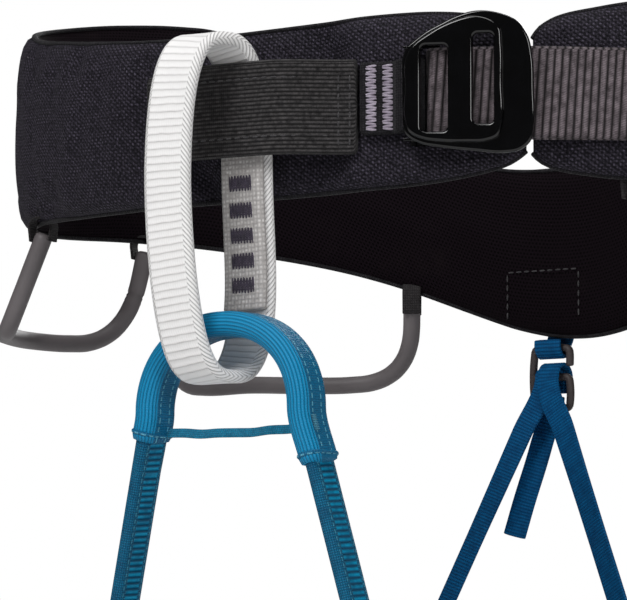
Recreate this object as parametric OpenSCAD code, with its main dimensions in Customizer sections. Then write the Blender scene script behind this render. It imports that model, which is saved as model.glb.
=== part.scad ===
// Climbing sit harness: padded waist belt, sewn belay loop, tie-in bridge,
// two leg loops, four gear loops, rear risers and a quick-adjust belt buckle.
// Origin: centre of the wearer's waist at the height of the front tie-in.
// The wearer faces -Y, the wearer's left is +X, +Z is up. Millimetres.

/* [Waist belt] */
// Half width of the belt's outer face, left to right
belt_half_w = 146; // [130:1:160]
// Half depth of the belt's outer face, front to back
belt_half_d = 98; // [86:1:106]
// Thickness of the padded belt
belt_thick = 9; // [8:0.5:11]
// Angle of the belt's buckle end, from the front towards the wearer's left
belt_end_angle = 42.4; // [40:0.2:43]

/* [Belt webbing and buckle] */
// Width of the belt webbing
web_w = 29; // [26:1:30]
// Thickness of the belt webbing
web_t = 2; // [1.6:0.1:2.2]
// Angle of the buckle's middle, from the front
buckle_angle = 35; // [34:1:36]
// Height of the buckle
buckle_h = 45; // [43:1:46]

/* [Belay loop] */
// Width of the belay loop's webbing
loop_w = 17.5; // [16:0.5:19]
// Overall height of the belay loop
loop_h = 112; // [108:0.5:114]
// Overall depth of the belay loop, front strand to back strand
loop_d = 36.4; // [35:0.2:37]

/* [Tie-in bridge] */
// Half width of the bridge's arch, to the middle of its webbing
arch_r = 30; // [28:0.5:31]
// Width of the protective sleeve
sleeve_w = 15; // [14:0.5:15]
// Thickness of the protective sleeve
sleeve_t = 8; // [7:0.5:8.5]

/* [Leg loops] */
// Half width of a leg loop's outer face
leg_half_w = 74; // [68:1:75]
// Half depth of a leg loop's outer face
leg_half_d = 79; // [76:1:82]
// Thickness of the padded leg loop
leg_thick = 7; // [6:0.5:8]

/* [Gear loops and risers] */
// Radius of a gear loop's moulded tube
gear_r = 3.1; // [2.8:0.1:3.2]
// Radius of the riser hook's wire
hook_r = 1.4; // [1.2:0.1:1.5]
// Width of the elastic risers
riser_w = 8.8; // [8:0.2:8.8]
// Width of the strap that holds the riser hook
hook_strap_w = 11; // [9:0.5:11]

/* [Hidden] */
$fn = 32;

right = -1;
left = 1;
skin = 1.2;       // fabric skin of a padded part
seam_gap = 0.12;  // space left between neighbouring layers
binding_h = 1.7;  // height of an edge binding
belt_step = 7;    // angle between the belt's stations
mid_x = 8;        // the leg loops hang a little to the wearer's left

// Belt edge heights against angle from the front, the wearer's left positive.
belt_top = [
    [-316.6, 21.5], [-315.5, 25], [-312.5, 28.5], [-309, 30.5], [-302, 32], [-290, 37],
    [-275, 45], [-262, 52], [-248, 56], [-235, 55], [-222, 41], [-210, 23], [-198, 7],
    [-190, 1.5], [-180, 0.5], [-171, 1.5], [-164, 6], [-150, 23], [-138, 42], [-128, 55],
    [-118, 57], [-105, 56], [-95, 54], [-79, 49.5], [-61, 43.5], [-50, 38], [-41, 35.5],
    [-35, 33.5], [-24, 30.5], [-13, 28], [-6, 27.5], [8, 28], [23, 30], [33, 30],
    [38.5, 28], [41.3, 25], [42.4, 22]
];
belt_bottom = [
    [-316.6, -17], [-315.5, -19.5], [-313, -22], [-309, -23.5], [-302, -24.5], [-285, -25],
    [-255, -23], [-240, -23.5], [-228, -26.5], [-216, -36], [-205, -49], [-195, -58.5],
    [-187, -61], [-180, -60.5], [-174, -56], [-168, -51], [-161, -44], [-155, -39],
    [-150, -35], [-142, -31], [-135, -28], [-120, -24], [-104, -23], [-76, -25], [-46, -26],
    [-37, -27], [-24, -27.7], [8, -27.7], [24, -26.2], [31, -25], [38.5, -21.5],
    [41, -18.5], [42.4, -16]
];
// Leg loop edge heights against angle from its front, outwards positive.
leg_top = [
    [0, -207], [45, -200], [90, -199], [135, -204], [180, -211],
    [225, -219], [270, -219], [315, -211], [360, -207]
];
leg_bottom = [
    [0, -240], [45, -254], [90, -264], [135, -270], [180, -270],
    [225, -264], [270, -253], [315, -243], [360, -240]
];

// ---------- Points and sweeps ----------
function unit(v) = v / norm(v);
function smooth(t) = let (c = min(1, max(0, t))) c * c * (3 - 2 * c);
function mix(a, b, t) = a + (b - a) * t;
function averaged(u, table, reach) =
    (lookup(u - 2 * reach, table) + lookup(u - reach, table) + lookup(u, table)
     + lookup(u + reach, table) + lookup(u + 2 * reach, table)) / 5;
// Distance from u to the nearer end of the belt, used to keep its ends crisp.
function end_reach(u) = min(3, max(0, min(u + 316.6, belt_end_angle - u) / 3));
function oval(a, b, u, off) =
    let (n = unit([sin(u) / a, -cos(u) / b]))
    [a * sin(u) + off * n[0], -b * cos(u) + off * n[1]];
function belt_pt(u, off, z) =
    let (p = oval(belt_half_w, belt_half_d, u, off)) [p[0], p[1], z];
function belt_zt(u) = averaged(u, belt_top, end_reach(u));
function belt_zb(u) = averaged(u, belt_bottom, end_reach(u));
function belt_out(u) = let (n = unit([sin(u) / belt_half_w, -cos(u) / belt_half_d])) [n[0], n[1], 0];
// The pad is thinner behind the tie-in band, where the belay loop runs.
function recess(u) = 4.5 * smooth((16 - abs(u - 4)) / 7);
function tangent(path, i) =
    unit(path[min(i + 1, len(path) - 1)] - path[max(i - 1, 0)]);
// A flat strap's section: a rectangle with its corners cut.
function strap_ring(p, t, w, half_w, half_t) =
    let (n = unit(cross(t, w)), v = unit(cross(n, t)), c = min(half_t, half_w) * 0.45)
    [for (q = [[half_w, -half_t + c], [half_w, half_t - c], [half_w - c, half_t],
               [-half_w + c, half_t], [-half_w, half_t - c], [-half_w, -half_t + c],
               [-half_w + c, -half_t], [half_w - c, -half_t]])
        p + q[0] * v + q[1] * n];
function tube_ring(p, t, w, r, sides) =
    let (n = unit(cross(t, w)), v = unit(cross(n, t)))
    [for (k = [0:sides - 1]) p + r * cos(360 * k / sides) * v + r * sin(360 * k / sides) * n];

// Skins a row of rings, each counter-clockwise about the way the row runs.
module skin_rings(rings, closed = false) {
    n = len(rings[0]);
    m = len(rings);
    last = closed ? m - 1 : m - 2;
    sides = [for (i = [0:last], k = [0:n - 1], h = [0, 1])
        let (j = (i + 1) % m, a = i * n + k, b = i * n + (k + 1) % n,
             c = j * n + (k + 1) % n, d = j * n + k)
        h == 0 ? [a, d, c] : [a, c, b]];
    caps = closed ? [] : [[for (k = [0:n - 1]) k], [for (k = [n - 1:-1:0]) (m - 1) * n + k]];
    polyhedron(points = [for (r = rings, p = r) p], faces = concat(sides, caps), convexity = 6);
}
module strap(path, widths, half_w, half_t, closed = false) {
    skin_rings([for (i = [0:len(path) - 1])
        strap_ring(path[i],
                   closed ? unit(path[(i + 1) % len(path)] - path[(i + len(path) - 1) % len(path)])
                          : tangent(path, i),
                   is_list(widths[0]) ? widths[i] : widths, half_w, half_t)], closed);
}
// A round tube with domed ends.
module tube(path, r, sides = 8) {
    n = len(path) - 1;
    a = tangent(path, 0);
    b = tangent(path, n);
    w = [0.31, 0.17, 0.93];
    skin_rings(concat(
        [for (k = [75, 50, 25]) tube_ring(path[0] - r * sin(k) * a, a, w, r * cos(k), sides)],
        [for (i = [0:n]) tube_ring(path[i], tangent(path, i), w, r, sides)],
        [for (k = [25, 50, 75]) tube_ring(path[n] + r * sin(k) * b, b, w, r * cos(k), sides)]));
}
function local_x(side, x) = side < 0 ? 2 * mid_x - x : x;
module on_side(side) {
    translate([side < 0 ? 2 * mid_x : 0, 0, 0]) mirror([side < 0 ? 1 : 0, 0, 0]) children();
}

// ---------- Waist belt ----------
// One layer of a padded band, crowned across its height, between two depths.
function layer_ring(ptf, u, a, b, zb, zt) =
    let (vs = [0, 0.14, 0.5, 0.86, 1], crown = [-1.6, -0.35, 0, -0.35, -1.6])
    concat([for (i = [0:4]) ptf(u, b + crown[i], mix(zb, zt, vs[i]))],
           [for (i = [4:-1:0]) ptf(u, a + crown[i], mix(zb, zt, vs[i]))]);
belt_stations = concat([-316.6, -315.6, -313, -309], [for (u = [-303:belt_step:33]) u], [36, 39.4,
    41.4, belt_end_angle]);
module belt_layer(outer, inner) {
    skin_rings([for (u = belt_stations)
        layer_ring(function(u, o, z) belt_pt(u, o, z), u, -outer - recess(u) * (outer < 5 ? 1 : 0),
                   -inner - recess(u) * (inner < 5 ? 1 : 0),
                   belt_zb(u) + binding_h + seam_gap, belt_zt(u) - binding_h - seam_gap)]);
}
module belt_edge(top) {
    skin_rings([for (u = belt_stations)
        let (z = top ? belt_zt(u) - binding_h / 2 : belt_zb(u) + binding_h / 2,
             a = -1.4 - recess(u), b = -belt_thick - 1.2, h = binding_h / 2)
        [belt_pt(u, b, z - h * 0.4), belt_pt(u, b, z + h * 0.4), belt_pt(u, b + 1, z + h),
         belt_pt(u, a - 1, z + h), belt_pt(u, a, z + h * 0.4), belt_pt(u, a, z - h * 0.4),
         belt_pt(u, a - 1, z - h), belt_pt(u, b + 1, z - h)]]);
}
module belt_shell() { color("#26262c") belt_layer(0, skin); }
module belt_foam() { color("#9a9a96") belt_layer(skin + seam_gap, belt_thick - skin - seam_gap); }
module belt_liner() { color("#17141a") belt_layer(belt_thick - skin, belt_thick); }
module belt_top_binding() { color("#1d1d22") belt_edge(true); }
module belt_bottom_binding() { color("#1d1d22") belt_edge(false); }

// Stands off the belt in the middle, so that the belay loop passes behind it.
band_h = 30.5;
band_t = 3;
band_mid = 3.4;
band_reach = 15.7;
function band_off(u) = band_t / 2 + 0.3 + 11 * smooth((band_reach - abs(u - band_mid)) / 10);
module tie_in_band() {
    color("#2b2b30") strap([for (k = [-9:9]) let (u = band_mid + band_reach * k / 9)
        belt_pt(u, band_off(u), -0.25)], [0, 0, 1], band_h / 2, band_t / 2);
}

// ---------- Belt webbing and buckle ----------
web_z = 2;
buckle_out = belt_out(buckle_angle);
buckle_turn = atan2(buckle_out[0], -buckle_out[1]);
// Buckle frame: x along the belt to the wearer's left, y up, z away from the belt.
module at_buckle() {
    translate(belt_pt(buckle_angle, 0, 4.5)) rotate([0, 0, buckle_turn]) rotate([90, 0, 0]) children();
}
function buckle_point(x, off) =
    belt_pt(buckle_angle, 0, 0) + off * buckle_out + x * [cos(buckle_turn), sin(buckle_turn), 0];
web_turn_x = -10.8;
web_turn_r = 2.3;
web_low = 2.6;
web_high = web_low + 2 * web_turn_r;
web_sewn_angle = 84;
web_tail_angle = 100;
web_path = concat(
    [for (k = [6:-1:0]) let (u = mix(47.5, web_sewn_angle, k / 6)) belt_pt(u, 1.3, web_z)],
    [for (x = [12, 4, -5]) buckle_point(x, web_low) + [0, 0, web_z]],
    [for (a = [-90:-45:-270]) buckle_point(web_turn_x + web_turn_r * cos(a),
        web_low + web_turn_r + web_turn_r * sin(a))
        + [0, 0, web_z]],
    [for (x = [-5, 4, 13]) buckle_point(x, web_high) + [0, 0, web_z]],
    [for (k = [0:7]) let (u = mix(47.5, web_tail_angle, k / 7)) belt_pt(u,
        4.4 + 1.6 * smooth((54 - u) / 8), web_z)]
);
module belt_webbing() {
    color("#4a464c") strap(web_path, [0, 0, 1], web_w / 2, web_t / 2);
}
// The tail's end is folded over itself and stitched.
module webbing_tail_hem() {
    color("#4a464c") strap([for (u = [95.5, 97.5, 99.5]) belt_pt(u, 4.4 + web_t + 0.2, web_z)],
        [0, 0, 1], web_w / 2, web_t / 2);
}
// Local frame on the belt's face: x along the belt, y up, z away from the wearer.
module on_belt(u, z) {
    n = belt_out(u);
    translate(belt_pt(u, 0, z)) rotate([0, 0, atan2(n[0], -n[1])]) rotate([90, 0, 0]) children();
}
module tail_keeper() {
    tall = web_w / 2 + 1.2;
    color("#202024") on_belt(76, web_z) difference() {
        translate([-6, -tall - 2, 0.5]) cube([12, 2 * tall + 4, 9]);
        translate([-7, -tall, -1]) cube([14, 2 * tall, 9]);
    }
}
// Webbing loop that holds the buckle's base to the belt.
anchor_bar_x = -17.8;
anchor_r = 2.55;
module buckle_anchor() {
    color("#4a464c") strap(concat(
        [for (u = [21.6, 24.3]) belt_pt(u, 1.1, web_z)],
        [buckle_point(-22.5, 1.3) + [0, 0, web_z]],
        [for (a = [-90:36:90]) buckle_point(anchor_bar_x + anchor_r * cos(a),
            4.35 + anchor_r * sin(a)) + [0, 0, web_z]],
        [buckle_point(-22.5, 5.2) + [0, 0, web_z]],
        [for (u = [24.2, 22.9, 21.4]) belt_pt(u, 3.1, web_z)]
    ), [0, 0, 1], anchor_half, 0.9);
}
module anchor_bartacks() {
    color("#a99fae") for (u = [21.9, 23.75]) skin_rings([for (s = [-1, 1])
        [for (q = [[4.3, -10.5], [4.3, 10.5], [4.9, 10.5], [4.9, -10.5]])
            belt_pt(u + s * 0.4, q[0], web_z + q[1])]]);
}

buckle_bar_r = 1.6;
buckle_t = 2.6;
anchor_half = 11.5;
module plate(x0, x1, y0, y1, r) {
    for (x = [x0 + r, x1 - r], y = [y0 + r, y1 - r]) translate([x, y]) circle(r, $fn = 48);
    translate([x0 + r, y0]) square([x1 - x0 - 2 * r, y1 - y0]);
    translate([x0, y0 + r]) square([x1 - x0, y1 - y0 - 2 * r]);
}
// Bars and rails share the webbing's middle, a little below the buckle's own.
web_y = web_z - 4.5;
// Base: a ladder whose left bar is the pivot and whose right bar turns the webbing.
module buckle_base() {
    h = web_w / 2 + 1.8;
    color("#0c0c0f") at_buckle() translate([0, web_y, 0]) union() {
        translate([anchor_bar_x, -h, 4.35]) rotate([-90, 0, 0]) cylinder(r = 1.5, h = 2 * h, $fn = 40);
        translate([web_turn_x, -h, 4.9]) rotate([-90, 0, 0]) cylinder(r = 1.15, h = 2 * h, $fn = 40);
        for (y = [-h, h - 1.4]) translate([-18.5, y, 3.4]) cube([7.5, 1.4, 2.2]);
    }
}
// Slider: the glossy outer frame, which tips up about the base's left bar.
// Its outline is taller on the right, where the finger rim is.
slider_outline = [
    [-20.6, 8], [-20.6, -13], [-18.6, -16.6], [-15, -18.9], [-9, -20], [12, -22], [16, -21.4],
    [19.6, -18.6], [20.7, -14], [20.4, 8], [18.8, 15], [15.5, 19.6], [10.5, 22], [2, 23],
    [-3.5, 21.6], [-13, 17], [-17.4, 13.4]
];
module buckle_slider() {
    z0 = 9;
    k = buckle_h / 45;
    color("#0c0c0f") at_buckle() difference() {
        union() {
            translate([0, 0, z0]) linear_extrude(buckle_t) polygon([for (p = slider_outline) [p[0],
                p[1] * k]]);
            for (y = [web_y - web_w / 2 + 0.1, web_y + web_w / 2 - 1]) hull() {
                translate([anchor_bar_x, y, 4.35]) rotate([-90, 0, 0]) cylinder(r = 2.9, h = 0.9,
                    $fn = 32);
                translate([anchor_bar_x - 2.6, y, z0]) cube([5.2, 0.9, 0.5]);
            }
        }
        translate([0, 0, z0 - 1]) linear_extrude(buckle_t + 2) {
            plate(-15.4, -5.6, -15.6, 12.8, 1.6);
            plate(1.2, 9, -13.4, 16.2, 1.6);
        }
        for (y = [web_y - web_w / 2 - 1, web_y + web_w / 2 - 2]) translate([anchor_bar_x, y, 4.35])
            rotate([-90, 0, 0]) cylinder(r = buckle_bar_r, h = 3, $fn = 40);
    }
}

// ---------- Gear loops ----------
// Each hangs from two points under the belt's lower edge: a straight front leg
// with a tight corner, then a long low run that curves up to the rear end.
gear_spans = [[-48.2, -109], [-116, -157.2], [-300, -256], [-249, -211.5]];
gear_low = [-61.6, -74.5, -61.6, -74.5];
gear_in = -4.5;      // the ends are sewn in at mid thickness
gear_drop = 4.4;     // the pivot line, below the belt's lower edge
// The belt's lowest edge beside u, so that a sewn end hangs clear of a sloping edge.
function low_edge(u) = min(belt_zb(u - 3), belt_zb(u), belt_zb(u + 3));
function gear_hinge(i, e) = let (u = gear_spans[i][e]) belt_pt(u, gear_in, low_edge(u) - gear_drop);
function bend(a, b, c, r, n) = let (p = b + r * unit(a - b), q = b + r * unit(c - b))
    [for (k = [0:n]) let (t = k / n) (1 - t) * (1 - t) * p + 2 * t * (1 - t) * b + t * t * q];
function on_arc(span, s, off, z) = belt_pt(mix(span[0], span[1], s), off, z);
function gear_path(i) = let (
        sp = gear_spans[i], z = gear_low[i], a = gear_hinge(i, 0), e = gear_hinge(i, 1),
        b = on_arc(sp, 0.05, 6.2, z), c1 = on_arc(sp, 0.35, 7, z + 1.5), c2 = on_arc(sp, 0.56, 6,
            z + 1.2),
        d = on_arc(sp, 0.97, 3.5, z + 1))
    concat([a, mix(a, b, 0.35)], bend(a, b, c1, 9, 4), [c1, c2], bend(c2, d, e, min(27,
        0.82 * norm(e - d)), 6), [mix(d, e, 0.92), e]);
module gear_loop(i) {
    color("#6b6669") tube(gear_path(i), gear_r, 10);
}
// A fabric saddle holds each end: two cheeks under a small top.
module gear_loop_tabs() {
    color("#26262c") for (i = [0:3], e = [0, 1]) {
        p = gear_hinge(i, e);
        q = gear_hinge(i, 1 - e) - p;
        translate(p) rotate([0, 0, atan2(q[1], q[0])]) difference() {
            translate([-4.6, -3.4, -3.2]) cube([9.2, 6.8, gear_drop + 2.8]);
            translate([-gear_r - 0.4, -4, -4]) cube([2 * gear_r + 0.8, 8, gear_r + 4.35]);
        }
    }
}

// ---------- Haul loop and riser anchor ----------
haul_z = -14;
haul_w = 16;
function haul_arc(a) = [0, belt_half_d + 6.4 + 4.4 * sin(a), 0];
module haul_loop_tab() {
    color("#26262c") translate([0, belt_half_d + 0.3, haul_z]) difference() {
        translate([-12, 0, -5]) cube([24, 4.6, 20]);
        translate([-9.2, 0.9, -6]) cube([18.4, 5, 10.4]);
    }
}
module haul_loop() {
    y0 = belt_half_d + 3.2;
    color("#3c3b40") strap([
        [0, y0 - 1, haul_z + 1], [0, y0 - 0.6, haul_z - 8], [0, y0 - 0.4, haul_z - 28], [0, y0,
            haul_z - 36],
        [0, y0 + 1.8, haul_z - 40.5], [0, y0 + 5, haul_z - 41.5], [0, y0 + 7.6, haul_z - 38.5], [0,
            y0 + 8.2, haul_z - 32],
        [0, y0 + 7.4, haul_z - 20], [0, y0 + 5.4, haul_z - 9], [0, y0 + 3.2, haul_z - 3.6], [0,
            y0 + 2.1, haul_z + 1]
    ], [1, 0, 0], haul_w / 2, 0.9);
}
hook_y = belt_half_d - 4.5;
hook_top = -63.4;
module riser_anchor_strap() {
    color("#0b4f88") strap([
        [0, hook_y - 3, -61.1], [0, hook_y - 3, hook_top], [0, hook_y - 1.5, hook_top - 2.3], [0,
            hook_y, hook_top - 3],
        [0, hook_y + 1.5, hook_top - 2.3], [0, hook_y + 3, hook_top],
        [0, belt_half_d + 1.2, -59], [0, belt_half_d + 1.2, -52]
    ], [1, 0, 0], hook_strap_w / 2, 0.7);
}

// ---------- Belay loop ----------
loop_t = 4.3;
loop_x = 7;
loop_shear = 4.2;
loop_lean = 3;
loop_back_y = -belt_half_d - 0.6;
loop_mid = [loop_back_y - loop_d / 2, 24 - loop_h / 2];
loop_power = 2 / 2.8;
function pow_sign(v, p) = v == 0 ? 0 : sign(v) * pow(abs(v), p);
// The loop's middle line. 0 is the back strand, 90 the top, 180 the front strand.
function loop_pt(a, off) = let (
        hd = loop_d / 2 - loop_t / 2 + off, hh = loop_h / 2 - loop_t / 2 + off,
        c = pow_sign(cos(a), loop_power), s = pow_sign(sin(a), loop_power))
    [loop_x + loop_shear * c + loop_lean * smooth((-20 - loop_mid[1] - hh * s) / 60),
        loop_mid[0] + hd * c, loop_mid[1] + hh * s];
function loop_angle(z) = let (q = (z - loop_mid[1]) / (loop_h / 2 - loop_t / 2))
    asin(pow_sign(q, 1 / loop_power));
loop_angles = [for (k = [0:43]) let (a = 360 * k / 44) a - 7 * sin(2 * a)];
module belay_loop_webbing() {
    color("#e9e7e4") strap([for (a = loop_angles) loop_pt(a, 0)], [1, 0, 0], loop_w / 2, loop_t / 2,
        true);
}
// The lap lies on the inside of the back strand, over the webbing's sewn ends.
lap_t = 2.8;
lap_off = -(loop_t + lap_t) / 2 - 0.3;
lap_range = [-66, 8];
tack_zs = [-22.4, -32, -41, -50, -58.6];
module belay_loop_lap() {
    color("#dcd9d6") strap([for (k = [0:8]) loop_pt(loop_angle(mix(lap_range[0], lap_range[1], k / 8)),
        lap_off)],
        [1, 0, 0], loop_w / 2 - 0.6, lap_t / 2);
}
module belay_loop_bartacks() {
    color("#3a3142") for (z = tack_zs)
        strap([for (d = [-2.3, 0, 2.3]) loop_pt(loop_angle(z + d), lap_off - lap_t / 2 - 0.45)], [1, 0,
            0], 5, 0.25);
}

// ---------- Tie-in bridge ----------
bridge_x = 15.5;
bridge_y = loop_mid[0];
bridge_z = -98;
arch_h = 28.5;
arch_power = 2 / 2.2;
leg_pivot = [bridge_y + 4, -168];
strap_slope = 0.26;
strap_set_back = 0.07;
sleeve_ends = [-103.5, -112.5];
// The arch, then its legs: t runs from -1 to 1 over the arch, beyond that down a leg.
function leg_line(side, z) = [bridge_x + side * (arch_r + (bridge_z - z) * strap_slope),
    bridge_y + (bridge_z - z) * strap_set_back, z];
function arch_pt(a) = [bridge_x + arch_r * pow_sign(sin(a), arch_power), bridge_y,
    bridge_z + arch_h * pow_sign(cos(a), arch_power)];
function bridge_path(z_right, z_left) = concat([leg_line(right, z_right)],
    [for (k = [-9:9]) let (a = 10 * k - 4 * sin(40 * k)) arch_pt(a)], [leg_line(left, z_left)]);
web2_w = 12.5;
web2_t = 4.2;
module bridge_sleeve() {
    color("#0f74b5") difference() {
        strap(bridge_path(sleeve_ends[0], sleeve_ends[1]), [0, 1, 0], sleeve_w / 2, sleeve_t / 2);
        strap(bridge_path(sleeve_ends[0] - 3, sleeve_ends[1] - 3), [0, 1, 0], web2_w / 2 + 0.15,
            web2_t / 2 + 0.15);
    }
}
bridge_low = -116;
module bridge_webbing() {
    color("#0c66a4") strap(bridge_path(bridge_low, bridge_low), [0, 1, 0], web2_w / 2, web2_t / 2);
}
module bridge_keeper() {
    z = -102.8;
    x0 = leg_line(right, z)[0] + sleeve_t / 2 + 0.6;
    x1 = leg_line(left, z)[0] - sleeve_t / 2 - 0.6;
    color("#1280bd") strap([for (k = [0:6]) [mix(x0, x1, k / 6), bridge_y + 3,
        z - 0.8 * sin(180 * k / 6)]],
        [0, 0.4, 0.9], 1.6, 0.5);
}
strap_gap = 0.8;
module bridge_strap(side) {
    bottom = leg_pivot[1] + web2_w / 2 + strap_gap;
    color("#0c66a4") strap([for (k = [0:4]) leg_line(side, mix(bridge_low - 0.1, bottom, k / 4))],
        [0, 1, 0], web2_w / 2, web2_t / 2);
}

// ---------- Leg loops ----------
leg_mid = [mid_x + 80, -21];
leg_step = 15;
leg_angles = [for (v = [0:leg_step:345]) v];
function leg_pt(v, off, z) = let (p = oval(leg_half_w, leg_half_d, v, off))
    [leg_mid[0] + p[0], leg_mid[1] + p[1], z];
function around(v, table) = let (w = (v % 360 + 360) % 360) lookup(w, table);
function leg_edge(v, table) = (around(v - 15, table) + 2 * around(v, table) + around(v + 15, table)) / 4;
function leg_zt(v) = leg_edge(v, leg_top);
function leg_zb(v) = leg_edge(v, leg_bottom);
module leg_layer(outer, inner) {
    skin_rings([for (v = leg_angles)
        layer_ring(function(v, o, z) leg_pt(v, o, z), v, -outer, -inner,
                   leg_zb(v) + binding_h + seam_gap, leg_zt(v) - binding_h - seam_gap)], true);
}
module leg_edge_binding(top) {
    skin_rings([for (v = leg_angles)
        let (z = top ? leg_zt(v) - binding_h / 2 : leg_zb(v) + binding_h / 2, h = binding_h / 2,
             a = -1.4, b = -leg_thick - 1.2)
        [leg_pt(v, b, z - h * 0.4), leg_pt(v, b, z + h * 0.4), leg_pt(v, b + 1, z + h), leg_pt(v,
            a - 1, z + h),
         leg_pt(v, a, z + h * 0.4), leg_pt(v, a, z - h * 0.4), leg_pt(v, a - 1, z - h), leg_pt(v,
             b + 1, z - h)]], true);
}
leg_skin = 1;
module leg_shell() { color("#26262c") leg_layer(0, leg_skin); }
module leg_foam() { color("#9a9a96") leg_layer(leg_skin + seam_gap, leg_thick - leg_skin - seam_gap); }
module leg_liner() { color("#17141a") leg_layer(leg_thick - leg_skin, leg_thick); }
module leg_webbing() {
    color("#0c66a4") strap([for (v = leg_angles) leg_pt(v, 1.05, (leg_zt(v) + leg_zb(v)) / 2)],
        [0, 0, 1], 8, 0.8, true);
}
// Lower half of a bridge strap: turns flat and is sewn to the leg loop's front.
leg_front_v = -16;
module leg_strap(side) {
    q = leg_line(side, leg_pivot[1]);
    p = [local_x(side, q[0]), q[1], q[2]];
    end = leg_pt(leg_front_v, 4.3, -230);
    color("#0c66a4") {
        translate(p) rotate([0, 90 - atan(strap_slope), 0])
            translate([0, 0, -web2_t / 2]) cylinder(r = web2_w / 2, h = web2_t, $fn = 48);
        strap([for (k = [0:6]) mix(mix(p, [p[0] + 6, p[1], p[2] - 26], min(1, k / 3)),
                                   mix([end[0], end[1], -206], end, max(0, (k - 3) / 3)),
                                       smooth((k - 0.5) / 3.5))],
              [for (k = [0:6]) unit([smooth((k - 1) / 3), mix(1, -0.3, smooth((k - 1) / 3)), 0.02])],
              web2_w / 2 - 0.05, web2_t / 2 - 0.2);
    }
}
tab_v = 196;
module riser_tab() {
    zt = leg_zt(tab_v);
    p = leg_pt(tab_v, 0, zt);
    n = unit([p[0] - leg_mid[0], p[1] - leg_mid[1]]);
    color("#0b4f88") translate(p) rotate([0, 0, atan2(n[0], -n[1])]) translate([-8, -2.2,
        -17]) cube([16, 1.9, 22]);
}

// ---------- Risers ----------
hook_x = 7.4;
hook_mid = -73.7;
hook_low = -84.6;
module wire(points) {
    for (i = [0:len(points) - 2]) {
        a = points[i];
        d = points[i + 1] - a;
        translate(a) rotate([0, acos(d[2] / norm(d)), atan2(d[1], d[0])]) cylinder(r = hook_r,
            h = norm(d), $fn = 24);
    }
    for (p = points) translate(p) sphere(hook_r, $fn = 24);
}
module riser_hook() {
    color("#5c5458") translate([0, hook_y, 0]) union() {
        wire([[hook_x, 0, -69], [hook_x, 0, hook_top], [-hook_x, 0, hook_top], [-hook_x, 0, hook_low],
              [hook_x, 0, hook_low], [hook_x, 0, hook_mid], [-hook_x, 0, hook_mid]]);
    }
}
riser_t = 1.4;
riser_tops = [2.6, 4.6];   // both fold over the middle bar, the left one outermost
riser_shift = 1.2;
riser_gap = 4.7;           // the lower ends stand this far off the leg loops
// How far the webbing's flat side turns away from the wearer, along its length.
function riser_turn(side, k) = side < 0 ? 0.3 * smooth(k / 3)
    : mix(-0.25 * smooth(k / 3), 0.3, smooth((k - 5.5) / 2.5));
module riser(side) {
    q = leg_pt(tab_v, riser_gap, leg_zt(tab_v));
    r = side < 0 ? riser_tops[0] : riser_tops[1];
    x = local_x(side, side * riser_shift);
    top = [x, hook_y - r, hook_mid - 1];
    wrap = concat([[x, hook_y + r, hook_mid - 5]],
        [for (a = [0:36:144]) [x, hook_y + r * cos(a), hook_mid + r * sin(a)]]);
    color("#0b4f88") strap(
        concat(wrap, [for (k = [0:7]) mix(top, [q[0], q[1], q[2] + 10], k / 7)],
            [[q[0], q[1], q[2] + 5], [q[0], q[1], q[2] - 9]]),
        concat([for (w = wrap) [1, 0, 0]],
            [for (k = [0:9]) unit([1, riser_turn(side, k), 0.3 * smooth(k / 2) * (1 - smooth(k / 9))])]),
        riser_w / 2, riser_t / 2);
}
// Free end of the right riser, past the back of the hook's lower bar.
module riser_tail() {
    color("#0a4275") strap([
        [-1.2, hook_y + 2.6, -80.2], [-2, hook_y + 2.6, -86], [-3.6, hook_y + 1.2, -92],
        [-5.6, hook_y - 2.2, -104], [-9, hook_y - 4.5, -117], [-12, hook_y - 6.5, -129.5]
    ], [0.97, 0.1, -0.2], riser_w / 2, riser_t / 2);
}

// ---------- Build ----------
belt_shell();
belt_foam();
belt_liner();
belt_top_binding();
belt_bottom_binding();
tie_in_band();
belt_webbing();
webbing_tail_hem();
tail_keeper();
buckle_anchor();
anchor_bartacks();
buckle_base();
buckle_slider();
gear_loop_tabs();
gear_loop(0);  // gear_loop_right_front
gear_loop(1);  // gear_loop_right_rear
gear_loop(2);  // gear_loop_left_front
gear_loop(3);  // gear_loop_left_rear
haul_loop_tab();
haul_loop();
riser_anchor_strap();
belay_loop_webbing();
belay_loop_lap();
belay_loop_bartacks();
bridge_sleeve();
bridge_webbing();
bridge_keeper();
riser_hook();
riser_tail();
on_side(right) riser(right);  // riser_right
on_side(left) riser(left);  // riser_left
on_side(right) leg_shell();  // leg_shell_right
on_side(right) leg_foam();  // leg_foam_right
on_side(right) leg_liner();  // leg_liner_right
on_side(right) leg_webbing();  // leg_webbing_right
on_side(right) leg_edge_binding(true);  // leg_top_binding_right
on_side(right) leg_edge_binding(false);  // leg_bottom_binding_right
on_side(right) leg_strap(right);  // leg_strap_right
on_side(right) riser_tab();  // riser_tab_right
bridge_strap(right);  // bridge_strap_right
on_side(left) leg_shell();  // leg_shell_left
on_side(left) leg_foam();  // leg_foam_left
on_side(left) leg_liner();  // leg_liner_left
on_side(left) leg_webbing();  // leg_webbing_left
on_side(left) leg_edge_binding(true);  // leg_top_binding_left
on_side(left) leg_edge_binding(false);  // leg_bottom_binding_left
on_side(left) leg_strap(left);  // leg_strap_left
on_side(left) riser_tab();  // riser_tab_left
bridge_strap(left);  // bridge_strap_left
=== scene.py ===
import math
import random
import bpy
import numpy as np
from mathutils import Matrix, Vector, noise


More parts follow.
